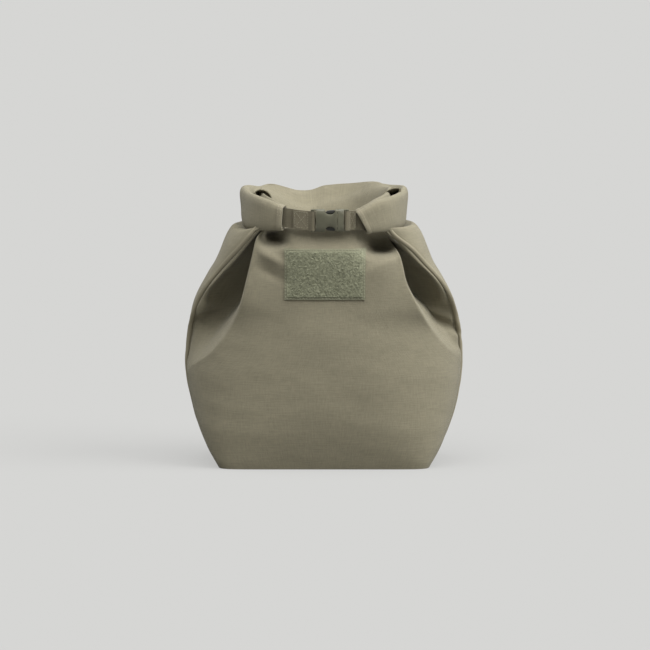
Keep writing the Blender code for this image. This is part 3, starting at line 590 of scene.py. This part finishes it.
rollLines = {side: rollLine(side) for side in (-1, 1)}
rollLength = {side: acrossFront(side, rollShape["ends"][side]) for side in (-1, 1)}


def rollPlace(side, distance):  # point of the arm's middle line and the way outwards
    line, far = rollLines[side]
    at, a, b = (lineAt(place, far, line) for place in (distance, distance - 1.5, distance + 1.5))
    d = (b - a) / np.linalg.norm(b - a)
    return at, np.array([d[1], -d[0]]) * -side


def mouthLine(share):  # where the collar goes up into the roll, share -1 at the left to 1
    reach, corner, over = bodyShape["mouthTo"]
    at, _ = rollPlace(-1 if share < 0 else 1, abs(share) * reach)
    if abs(share) <= corner:
        return np.append(at, bodyShape["mouthZ"])
    low = curveAt(share * reach, rollShape["bottom"])
    return np.append(at, max(low + bodyShape["mouthIn"] * ease((abs(share) - corner) / over), bodyShape["mouthZ"]))


def buildBody():
    heights = np.linspace(0, bodyShape["top"], bodyShape["rows"])
    left, right = (
        np.array([np.column_stack([halfPlan(z, side), np.full(halfCount + 1, z)]) for z in heights])
        for side in (-1, 1)
    )
    ring = np.concatenate([left[:, ::-1], right[:, 1:-1]], 1)  # back middle, left, front, right
    ring = np.concatenate([ring[:6], softened(ring[6:], 8, 1, closed=True)])
    return softened(ring, 6, 0)


body = buildBody()
leftSeam, rightSeam = nBack, halfCount + nFront + nFold + nSeam
print("body grid", body.shape)

pleats = {  # folds of the cloth, mm: x, z, half width, half height, depth, how much longer the lower side is
    "lobeLeft": (-53, 212, 13, 6, 4.0, 1.0),
    "lobeRight": (57, 204, 14, 6, 4.2, 3.6),
    "streakLeft": (-52, 196, 14, 5, -2.0, 1.0),
    "slope": 0.45,  # the lobes and the streak slope down towards the middle
    "swell": (2, 216, 42, 9.0, 4.4, 3.4),  # the cloth swells behind the patch and falls away above it
    "hollowLeft": (-50, 231.5, 10.5, 7.5, 27.0, 0.0),  # pushed straight back, and the last value lowers it
    "hollowRight": (56, 226, 15.5, 10.5, 29.0, 0.15),
    "hollowPower": (2.6, 3.0),  # across and up
    "lipLeft": ((4.5, 8, 7), (-4.0, -3, 4)),  # depth, level and half height of a lip that droops beside the left seam
    "lipLine": (147, 0.45, 131, 92, 25),  # its height, slope and x, then the x from which it grows and over how far
    "stepsRight": ((3.5, 150, 7), (-2.0, 141, 5), (1.8, 133, 5), (-1.2, 125, 4)),  # down the right fold
    "stepsLine": (0.37, 118),  # slope and x
    "rim": (200, 30),  # height from which it rises, and over how far
    "rise": [(-100, 3), (-86, 4), (-74, 8), (-60, 9), (-44, 9), (-34, 13), (0, 13), (30, 13), (42, 9), (60, 9),
             (100, 9)],  # of the front rim
    "backRise": 7.5,
    "groove": (2.2, 1.3, 1.5),  # beside each seam: how far off, half width, depth
    "soft": 0.7,
    "fine": 0.25,
}


def foldMask(shape):  # 1 in the valley side of each fold, 0 elsewhere
    mask = np.zeros(shape)
    inner, outer = nFront + nFold // 2, nFront + nFold + nSeam
    part = np.sin(math.pi * np.linspace(0, 1, outer - inner + 1)) ** 0.6
    for low in (halfCount - outer, halfCount + inner):
        mask[:, low : low + len(part)] = part
    return mask


def waves(level, key):
    return sum(depth * hump(level, middle, high) for depth, middle, high in pleats[key])


def clothCreases(grid):  # wrinkles that the loft doesn't hold, pushed along the surface's own normal
    x, y, z = grid[:, :, 0], grid[:, :, 1], grid[:, :, 2]
    rimLow, rimOver = pleats["rim"]
    forward, nearRim = ease((-y - 20) / 20), ease((z - rimLow) / rimOver)
    lift = curveAt(x, pleats["rise"]) * nearRim * np.maximum(forward, ease((np.abs(x) - 74) / 10))
    lift = np.maximum(lift, pleats["backRise"] * ease((y + 20) / 25) * nearRim)
    grid = np.stack([x, y, z + lift], -1)
    n, z = gridNormals(grid), grid[:, :, 2]
    push = np.zeros(x.shape)
    column = np.arange(x.shape[1])
    ahead = ease((nFront - 3 - np.abs(column - halfCount)) / 8)[None, :]  # only ahead of the creases
    inFront = ease((nFront + nFold + nSeam - 3 - np.abs(column - halfCount)) / 6)[None, :]  # all but the seams
    for name in ("lobeLeft", "lobeRight", "streakLeft"):
        px, pz, wx, wz, depth, tail = pleats[name]
        level = z - pleats["slope"] * np.sign(px) * (x - px)
        push += depth * hump(x, px, wx) * hump(level, pz, np.where(level < pz, tail * wz, wz)) * forward * ahead
    px, pz, wx, wz, depth, tail = pleats["swell"]
    push += depth * np.exp(-(((x - px) / wx) ** 4)) * hump(z, pz, np.where(z < pz, tail * wz, wz)) * forward
    off, wide, deep = pleats["groove"]
    for seamAt, way in ((leftSeam, 1), (rightSeam, -1)):
        step = np.linalg.norm(grid[:, seamAt + way] - grid[:, seamAt], axis=1)
        beside = (column - seamAt)[None, :] * way * step[:, None]
        push -= deep * hump(beside, off, wide)
    inFold = foldMask(x.shape)
    high, slope, px, inner, over = pleats["lipLine"]
    lip = waves(z - (high + slope * (px + x)), "lipLeft")
    push += inFold * (x < 0) * lip * ease((-x - inner) / over)
    slope, px = pleats["stepsLine"]
    push += inFold * (x > 0) * waves(z + slope * (x - px), "stepsRight")
    push += pleats["soft"] * wrinkle(grid, (60, 60, 38), 3.1) + pleats["fine"] * wrinkle(grid, (26, 26, 12), 8.4)
    push *= ease(z / 14)  # the foot stays straight on the floor
    grid = grid + n * push[:, :, None]
    for name in ("hollowLeft", "hollowRight"):
        px, pz, wx, wz, depth, fall = pleats[name]
        across, up = pleats["hollowPower"]
        back = depth * np.exp(-np.abs((x - px) / wx) ** across - np.abs((z - pz) / wz) ** up) * forward * inFront
        grid[:, :, 1] += back
        grid[:, :, 2] -= fall * back  # its roof stays under the collar
    return grid


body = clothCreases(body)


def capped(wall, shares, sag):  # goes on from the top of a wall in under the roll to the mouth
    rim, count = wall[-1], bodyShape["capRows"]
    ends = np.array([mouthLine(s) for s in np.linspace(*shares, len(rim))])
    slack = sag * np.minimum(np.linalg.norm(ends - rim, axis=1) / 60, 1) ** 2  # the short ways stay taut
    rows = []
    for t in np.arange(1, count + 1) / count:
        row = rim + (ends - rim) * t
        row[:, 2] = rim[:, 2] + (ends[:, 2] - rim[:, 2]) * math.sin(math.pi / 2 * t) - slack * math.sin(math.pi * t)
        rows.append(row)
    grid = np.concatenate([wall, rows])
    bend = slice(len(wall) - 6, len(wall) + 6)  # rounded where the wall turns in
    grid[bend] = softened(grid[bend], 8, 0)
    return grid


frontGrid = capped(body[:, leftSeam : rightSeam + 1], (-1, 1), 8.0)
backGrid = capped(np.concatenate([body[:, rightSeam:], body[:, : leftSeam + 1]], 1), (1, -1), -1.0)
for word, grid in (("front", frontGrid), ("back", backGrid)):
    panel = clothSheet(word + "_panel_cloth", grid, canvasLook, bodyShape["thick"])
    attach(panel, "bag")
    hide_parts(word + "_panel")
print("body panels are made")


# base, seams and the tapes inside them
baseShape = {"lift": 0.3, "rings": 16, "reach": 0.985, "thick": 1.3}
seamShape = {
    "ridge": (2.2, 1.5), "ridgePoints": 14,
    "dive": (4.0, 6),  # how deep the top of a ridge tucks in under the roll, and over how many rows
    "tapeHigh": 12.0, "tapeIn": 1.9, "tapeThick": 0.4, "tapeReach": 4,
}
foot = body[0]
grow = baseShape["reach"] * np.arange(1, baseShape["rings"] + 1) / baseShape["rings"]
baseRings = np.array([foot[::-1]] * len(grow))
baseRings[:, :, :2] *= grow[:, None, None]
baseRings[:, :, 2] = baseShape["lift"] + baseShape["thick"]
base = clothSheet("base_panel_cloth", baseRings, canvasLook, closed=True)
pick(base)
bpy.ops.object.mode_set(mode="EDIT")
bpy.ops.mesh.select_mode(type="VERT")
bpy.ops.mesh.select_all(action="DESELECT")
bpy.ops.object.mode_set(mode="OBJECT")
for v in base.data.vertices[: len(foot)]:
    v.select = True
bpy.ops.object.mode_set(mode="EDIT")
bpy.ops.mesh.merge(type="CENTER")
bpy.ops.object.mode_set(mode="OBJECT")
faceOut(base)
thicken(base, baseShape["thick"])
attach(base, "bag")
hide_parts("base_panel")

bodyNormals = gridNormals(np.concatenate([body[:, -1:], body, body[:, :1]], 1))[:, 1:-1]


def seamRidge(name, column):  # a felled ridge laid along the seam
    line, away = body[:, column], bodyNormals[:, column]
    up = np.gradient(line, axis=0)
    up /= np.linalg.norm(up, axis=1, keepdims=True)
    across = np.cross(up, away)
    wide, high = seamShape["ridge"]
    deep, over = seamShape["dive"]
    a = np.linspace(0, 2 * math.pi, seamShape["ridgePoints"], endpoint=False)[:, None]
    rings = []
    for k in range(2, len(line) - 1):
        dive = deep * ease((k - len(line) + over) / over)
        rings.append(line[k] + across[k] * wide * np.cos(a) + away[k] * (0.1 - dive + high * np.sin(a)))
    return tubeLoft(name, rings, ridgeLook)


def innerTape(name, columns, rows):  # tape welded on the inside of a seam
    at = np.ix_(rows, [c % body.shape[1] for c in columns])
    return clothSheet(name, body[at] - bodyNormals[at] * seamShape["tapeIn"], tapeLook, seamShape["tapeThick"])


for word, column in (("left", leftSeam), ("right", rightSeam)):
    ridge = seamRidge("side_seam_" + word + "_ridge", column)
    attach(ridge, "bag")
    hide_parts("side_seam_" + word)
    columns = range(column - seamShape["tapeReach"], column + seamShape["tapeReach"] + 1)
    tape = innerTape("seam_tape_" + word + "_strip", columns, range(4, bodyShape["rows"] - 6))
    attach(tape, "bag")
    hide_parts("seam_tape_" + word)
tapeRows = [r for r in range(2, 20) if body[r, 0, 2] < seamShape["tapeHigh"]]
footTape = innerTape("base_seam_tape_strip", range(body.shape[1] + 1), tapeRows)
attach(footTape, "bag")
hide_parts("base_seam_tape")
print("base, seams and tapes are made")


# the rolled collar
def rollSection(side, distance):  # one wound section as (out, up) pairs, its middle and half height
    got = curvesAt(side * distance, rollShape)
    high = (got["top"] - got["bottom"]) / 2
    dentAt = math.radians(got["grooveAt"])
    a = 2 * math.pi * np.arange(int(rollShape["turns"] * rollShape["turnPoints"]) + 1) / rollShape["turnPoints"]
    shrink = rollShape["layer"] * a / (2 * math.pi)
    s, c = np.sin(a), np.cos(a)
    reach = rounded(s, c, got["square"])
    pull = got["groove"] * hump(a % (2 * math.pi), dentAt, rollShape["grooveWide"])
    out = np.maximum(got["halfThick"] - shrink, 1.2) * s * reach
    up = -np.maximum(high - shrink - pull, 2.0) * c * reach
    return np.stack([out + got["lean"] * up, up], -1), got["bottom"] + high, high


def rollGrid(side):
    rows = []
    length = rollLength[side]
    slant, short = rollShape["slant"][side > 0], rollShape["innerBack"][side > 0]
    stops = np.linspace(0, length, rollShape["stations"])
    oneTurn = rollShape["turnPoints"]
    for distance in stops:
        section, middle, high = rollSection(side, distance)
        near = ease((distance - (length - rollShape["endZone"])) / rollShape["endZone"])
        row = []
        for k, (o, u) in enumerate(section):
            inner = ease((k - 0.9 * oneTurn) / (0.25 * oneTurn))
            at, away = rollPlace(side, distance + near * (slant * u / high - short * inner))
            if distance == 0:
                at, away = np.array([0.0, at[1]]), np.array([0.0, 1.0])
            row.append((*(at + away * o), middle + u))
        rows.append(row)
    grid = np.array(rows)
    soft = wrinkle(grid, (34, 34, 22), 5.0) + wrinkle(grid, (15, 15, 10), 2.0) * 0.3
    n = gridNormals(grid)
    keep = (ease(stops / 25) * (1 - 0.6 * ease((stops - length + 20) / 20)))[:, None]
    return grid + n * (soft * keep)[:, :, None]


def rollBlend(piece):  # the piece's place is baked into its mesh
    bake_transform(piece)


def makeRoll(side):
    word, grid = sideWord[side], rollGrid(side)
    piece = clothSheet("roll_" + word + "_cloth", grid if side > 0 else grid[::-1], canvasLook, rollShape["thick"])
    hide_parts("roll_" + word)
    rollBlend(piece)
    return grid


stripShape = {"short": 14, "stations": 60, "halfThick": 0.5, "halfHigh": 8.0, "cover": 7.0, "drop": 1.0}


def makeStiffener(side):  # the strip at the core, leaning as the roll does
    word = sideWord[side]
    rings = []
    for distance in np.linspace(0.2, rollLength[side] - stripShape["short"], stripShape["stations"]):
        got = curvesAt(side * distance, rollShape)
        low, top = got["bottom"], got["top"]
        at, away = rollPlace(side, distance)
        high = min(stripShape["halfHigh"], (top - low) / 2 - stripShape["cover"])
        ring = []
        for o, u in ((-1, -high), (1, -high), (1, high), (-1, high)):
            out = o * stripShape["halfThick"] + got["lean"] * u
            ring.append((*(at + away * out), (low + top) / 2 - stripShape["drop"] + u))
        rings.append(ring)
    strip = tubeLoft("mouth_stiffener_" + word + "_strip", rings, stripLook)
    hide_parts("mouth_stiffener_" + word)
    rollBlend(strip)


cornerShape = {  # the innermost turn stands open at each front corner: front and back middle, half sizes, tilt
    -1: ((-60.5, -31.0, 268.8), (-74.0, 10.0, 261.0), (9.5, 8.5), -0.2),
    1: ((67.5, -24.0, 272.8), (73.0, 10.0, 262.0), (9.5, 4.8), 0.3),
    "turns": 1.15,
    "start": 0.6,  # radians back from the side
    "taper": 0.55,  # towards the back
    "wind": 0.1,  # inwards, with each turn
    "points": 44,
    "stations": 18,
    "thick": 0.9,
}


def makeCorner(side):
    word = sideWord[side]
    front, back, (wide, high), tilt = cornerShape[side]
    t = np.linspace(0, 1, cornerShape["stations"])[:, None]
    a = np.linspace(0, 2 * math.pi * cornerShape["turns"], cornerShape["points"])
    wind = (1 - cornerShape["wind"] * a / (2 * math.pi)) * (1 - cornerShape["taper"] * t)
    b = a - cornerShape["start"]
    x, z = side * wide * wind * np.cos(b), high * wind * np.sin(b)
    middle = np.array(front) * (1 - t) + np.array(back) * t
    grid = middle[:, None] + np.stack([x, 0 * x, z + tilt * x], -1)
    piece = clothSheet("roll_" + word + "_turn", grid if side < 0 else grid[::-1], canvasLook, cornerShape["thick"])
    rollBlend(piece)


rollGrids = {side: makeRoll(side) for side in (-1, 1)}
for side in (-1, 1):
    makeCorner(side)
    makeStiffener(side)
print("roll is made")


# thread: one stitch modelled once, then set along a line
def stitchShape(length, radius):
    verts = []
    for place, size in ((-0.5, 0.35), (-0.32, 1.0), (0.32, 1.0), (0.5, 0.35)):
        for k in range(6):
            a = math.pi * k / 3
            verts.append((place * length, radius * size * math.cos(a), radius * size * math.sin(a)))
    return np.array(verts), quadFaces(4, 6, True) + [(5, 4, 3, 2, 1, 0), (18, 19, 20, 21, 22, 23)]


threadProud = 0.1


def sewRows(name, rows, look, length, gap, radius):  # rows of (points, normals) in mm
    verts, faces = [], []
    shape = stitchShape(length, radius)
    for line, normals in rows:
        far = alongLine(line)
        for s in np.arange(length / 2 + 0.4, far[-1] - length / 2, length + gap):
            p, u = lineAt(s, far, line), lineAt(s, far, normals)
            q = lineAt(s + 0.6, far, line) - lineAt(s - 0.6, far, line)
            q /= np.linalg.norm(q)
            u -= q * (u @ q)
            u /= np.linalg.norm(u)
            addCopy(verts, faces, shape, p + u * threadProud, (q, np.cross(u, q), u))
    made = newPiece(name, verts, faces, look)
    made.data.shade_smooth()
    return made


# hems at the two ends of the roll
hemShape = {"wide": (5.0, 4.2), "proud": 0.75, "thick": 0.7, "rows": 7, "inset": 14, "thread": (1.9, 0.9, 0.26)}
# each thread is given as length of a stitch, gap and radius


def makeHem(side):
    word, grid = sideWord[side], rollGrids[side]
    outer = grid[:, : rollShape["turnPoints"] + 3]
    normals = gridNormals(grid)[:, : rollShape["turnPoints"] + 3] * side
    length, count = rollLength[side], rollShape["stations"]
    far = np.linspace(0, length, count)
    stops = np.linspace(length - hemShape["wide"][side > 0], length, hemShape["rows"])
    rows, normalRows = (
        np.array([lineAt(d, far, values.reshape(count, -1)).reshape(-1, 3) for d in stops])
        for values in (outer, normals)
    )
    bow = np.sin(math.pi * np.linspace(0.08, 0.92, hemShape["rows"]))[:, None, None] ** 0.5
    raised = rows + normalRows * hemShape["proud"] * bow
    facing = raised if side > 0 else raised[::-1]
    band = clothSheet("end_binding_" + word + "_hem", facing, ridgeLook, hemShape["thick"])
    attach(band, word + "_arm")
    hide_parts("end_binding_" + word)
    part = slice(hemShape["inset"], -hemShape["inset"])
    seams = [(raised[r, part], normalRows[r, part]) for r in (1, hemShape["rows"] - 3)]
    thread = sewRows("end_thread_" + word, seams, threadLook, *hemShape["thread"])
    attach(thread, word + "_arm")


for side in (-1, 1):
    makeHem(side)
print("hems are made")


# loop patch on the front
patchShape = {
    "wide": 80.0, "high": 50.0, "centreX": 1.0, "foot": 171.0, "border": 2.6, "backing": 0.8, "step": 1.6,
    "clear": 0.25,  # under the backing
    "seat": 0.3,  # of the pile and the thread over the backing
    "pile": 1.5, "pileThick": 0.6, "pileStep": 0.7, "tuft": (1.5, 0.5),  # size and height
    "curls": 3400, "curlSize": (0.6, 1.1), "curlLean": 0.5, "seed": 11,
    "curl": (0.62, 0.85, 0.25, 0.15),  # half width, height, depth in the ground, radius of the yarn
    "threadIn": 1.25, "thread": (2.2, 1.0, 0.3),
}
frontLines = {}  # heights and depths of the front cloth at each x that was asked for


def frontPoint(x, z):  # point of the front cloth at a given x and height
    key = round(float(x), 2)
    if key not in frontLines:
        mid = frontGrid.shape[1] // 2
        part = frontGrid[40 : bodyShape["rows"], mid - nFront : mid + nFront + 1]
        frontLines[key] = [[np.interp(x, row[:, 0], row[:, k]) for row in part] for k in (2, 1)]
    return np.array([x, np.interp(z, *frontLines[key]), z])


def frontFrame(x, z):  # point and normal
    p = frontPoint(x, z)
    across = frontPoint(x + 1, z) - frontPoint(x - 1, z)
    up = frontPoint(x, z + 1) - frontPoint(x, z - 1)
    n = np.cross(across, up)
    return p, n / np.linalg.norm(n)


def patchGrid(border, lift, step):  # points over the front cloth, and its normals
    wide, high = patchShape["wide"] - 2 * border, patchShape["high"] - 2 * border
    xs = patchShape["centreX"] + np.linspace(-wide / 2, wide / 2, int(wide / step) + 1)
    low = patchShape["foot"] + border
    zs = np.linspace(low, low + high, int(high / step) + 1)
    frames = np.array([[frontFrame(x, z) for x in xs] for z in zs])
    return frames[:, :, 0] + frames[:, :, 1] * lift, frames[:, :, 1]


backing = patchGrid(0.0, patchShape["backing"] + patchShape["clear"], patchShape["step"])[0]
patchBack = clothSheet("patch_backing_cloth", backing, patchLook, patchShape["backing"])
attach(patchBack, "bag")
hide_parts("patch_backing")
onBacking = patchShape["backing"] + patchShape["seat"]
pile, pileNormals = patchGrid(patchShape["border"], onBacking + patchShape["pile"] * 0.55, patchShape["pileStep"])
tuftSize, tuftHigh = patchShape["tuft"]
tufts = wrinkle(pile, (tuftSize, tuftSize, tuftSize), 4.0) * tuftHigh
pile = pile + pileNormals * tufts[:, :, None]
patchPile = clothSheet("patch_pile_ground", pile, pileLook, patchShape["pileThick"])
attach(patchPile, "bag")
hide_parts("patch_pile")


def curlShape():  # one small loop of yarn
    verts = []
    wide, high, sunk, radius = patchShape["curl"]
    for a in np.linspace(0, math.pi, 5):
        for b in np.radians((0, 120, 240)):
            out = radius * math.sin(b)
            verts.append((math.cos(a) * (wide - out), radius * math.cos(b), math.sin(a) * (high - out) - sunk))
    return np.array(verts), quadFaces(5, 3, True)


def makeCurls():
    rng = random.Random(patchShape["seed"])
    points, around = curlShape()
    verts, faces = [], []
    rows, cols = pile.shape[:2]
    lean = patchShape["curlLean"]
    for _ in range(patchShape["curls"]):
        r, c = rng.randrange(1, rows - 1), rng.randrange(1, cols - 1)
        n = pileNormals[r, c]
        turn, size = rng.uniform(0, 2 * math.pi), rng.uniform(*patchShape["curlSize"])
        a = np.cross(n, (0.0, 0.0, 1.0))
        a /= np.linalg.norm(a)
        b = np.cross(n, a)
        u = a * math.cos(turn) + b * math.sin(turn)
        tip = n + (a * rng.uniform(-lean, lean) + b * rng.uniform(-lean, lean))
        addCopy(verts, faces, (points * size, around), pile[r, c], (u, np.cross(n, u), tip))
    made = newPiece("patch_pile_loops", verts, faces, pileLook)
    made.data.shade_smooth()
    return made


curls = makeCurls()
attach(curls, "bag")
edge, edgeNormals = patchGrid(patchShape["threadIn"], onBacking, patchShape["step"])
allOf = slice(None)
rows = [(edge[at], edgeNormals[at]) for at in (0, -1, (allOf, 0), (allOf, -1))]
patchThread = sewRows("patch_thread", rows, patchThreadLook, *patchShape["thread"])
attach(patchThread, "bag")
print("patch is made")


# webbing tabs: out of the core of the roll, round the bar of the buckle and back
strapShape = {
    "wide": 19.0, "thick": 1.3, "middle": 249.7, "bar": 2.55, "columns": 24, "tilt": (1.9, 0.57),
    "bars": {-1: (-11.5, -68.0), 1: (23.1, -68.0)},  # x and y
    "ends": {-1: -30.5, 1: 31.5},
    "inside": {-1: 43.0, 1: 44.0},  # x at which it leaves the roll
    "thread": (1.7, 0.7, 0.28),
}


def strapLine(side):  # its plan, and where the turn round the bar ends
    bar = np.array(strapShape["bars"][side])
    start = acrossFront(side, strapShape["inside"][side])
    tuck = [rollPlace(side, start - d)[0] for d in (8.0, 5.0, 2.5, 0.0)]
    leave = (tuck[-1] - tuck[-2]) / np.linalg.norm(tuck[-1] - tuck[-2])
    goal = bar + np.array([side * 3.2, 1.0 + strapShape["thick"]])
    reach = np.linalg.norm(goal - tuck[-1])
    arrive = np.array([-side, 0.1]) * reach
    middle = [cubic(t, tuck[-1], leave * reach, goal, arrive) for t in np.linspace(0, 1, 14)[1:]]
    bend = np.radians(np.linspace(62, -62, 13))
    loop = [bar + strapShape["bar"] * np.array([-side * math.cos(a), math.sin(a)]) for a in bend]
    under = np.array(tuck + middle)
    order = np.argsort(under[:, 0])
    first = loop[-1]
    x = np.linspace(first[0] + side * 1.5, strapShape["ends"][side], 14)
    y = np.interp(x, under[order, 0], under[order, 1]) - strapShape["thick"] - 0.35
    settle = ease(np.abs(x - first[0]) / 5.0)
    back = np.stack([x, first[1] * (1 - settle) + y * settle], -1)
    return np.concatenate([under, loop, back]), len(under) + len(loop)


def makeStrap(side):
    word = sideWord[side]
    line, turnAt = strapLine(side)
    across = np.linspace(-0.5, 0.5, strapShape["columns"]) * strapShape["wide"]
    drop = strapShape["tilt"][side > 0] * (np.abs(line[:, 0] - strapShape["bars"][side][0]) / 16.0 - 0.4)
    heights = strapShape["middle"] + drop[:, None] + across
    grid = np.stack(np.broadcast_arrays(line[:, :1], line[:, 1:], heights), -1)
    facing = grid if side < 0 else grid[:, ::-1]
    piece = clothSheet("webbing_" + word + "_strap", facing, webbingLook, strapShape["thick"], offset=0.0)
    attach(piece, word + "_arm")
    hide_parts("webbing_" + word)
    face = grid[turnAt + 2 :] + (0.0, -strapShape["thick"] / 2, 0.0)  # the sewn layer in front
    inner = face[1:-1]
    lines = [inner[:, 2], inner[:, -3], face[1, 2:-2], face[-2, 2:-2]]
    columns = np.arange(len(across))
    for first, last in ((2, len(across) - 3), (len(across) - 3, 2)):  # the cross in the box
        places = np.linspace(first, last, len(inner))
        lines.append(np.array([lineAt(place, columns, row) for place, row in zip(places, inner)]))
    rows = [(line, np.tile((0.0, -1.0, 0.0), (len(line), 1))) for line in lines]
    thread = sewRows("webbing_thread_" + word, rows, webbingThreadLook, *strapShape["thread"])
    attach(thread, word + "_arm")


for side in (-1, 1):
    makeStrap(side)
print("webbing is made")


# buckle: the CAD shapes with moulded edges
mouldShape = {"edge": 0.35, "steps": 2, "flat": 2, "sharp": 40, "smooth": 35}  # mm, and degrees


def mouldedCopy(node, body, name, look=plasticLook):
    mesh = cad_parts[node].data.copy()
    mesh.name = name
    made = bpy.data.objects.new(name, mesh)
    scene.collection.objects.link(made)
    mesh.materials.clear()
    mesh.materials.append(look)
    pick(made)
    bpy.ops.object.mode_set(mode="EDIT")
    bpy.ops.mesh.select_all(action="SELECT")
    bpy.ops.mesh.remove_doubles(threshold=1e-6)
    bpy.ops.mesh.dissolve_limited(angle_limit=math.radians(mouldShape["flat"]))
    bpy.ops.object.mode_set(mode="OBJECT")
    rounding = made.modifiers.new("moulded", "BEVEL")
    rounding.width = mouldShape["edge"] * mm
    rounding.segments = mouldShape["steps"]
    rounding.limit_method = "ANGLE"
    rounding.angle_limit = math.radians(mouldShape["sharp"])
    rounding.use_clamp_overlap = True
    applyAll(made)
    smoothBy(made, mouldShape["smooth"])
    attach(made, body)
    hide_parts(node)


mouldedCopy("buckle_socket", "left_arm", "buckle_socket_moulding")
mouldedCopy("buckle_plug", "right_arm", "buckle_plug_moulding")
# the prongs get the near-black look, which paints shade into the buckle's side windows
mouldedCopy("prong_upper", "upper_prong", "prong_upper_moulding", prongShadeLook)
mouldedCopy("prong_lower", "lower_prong", "prong_lower_moulding", prongShadeLook)
print("buckle is made")
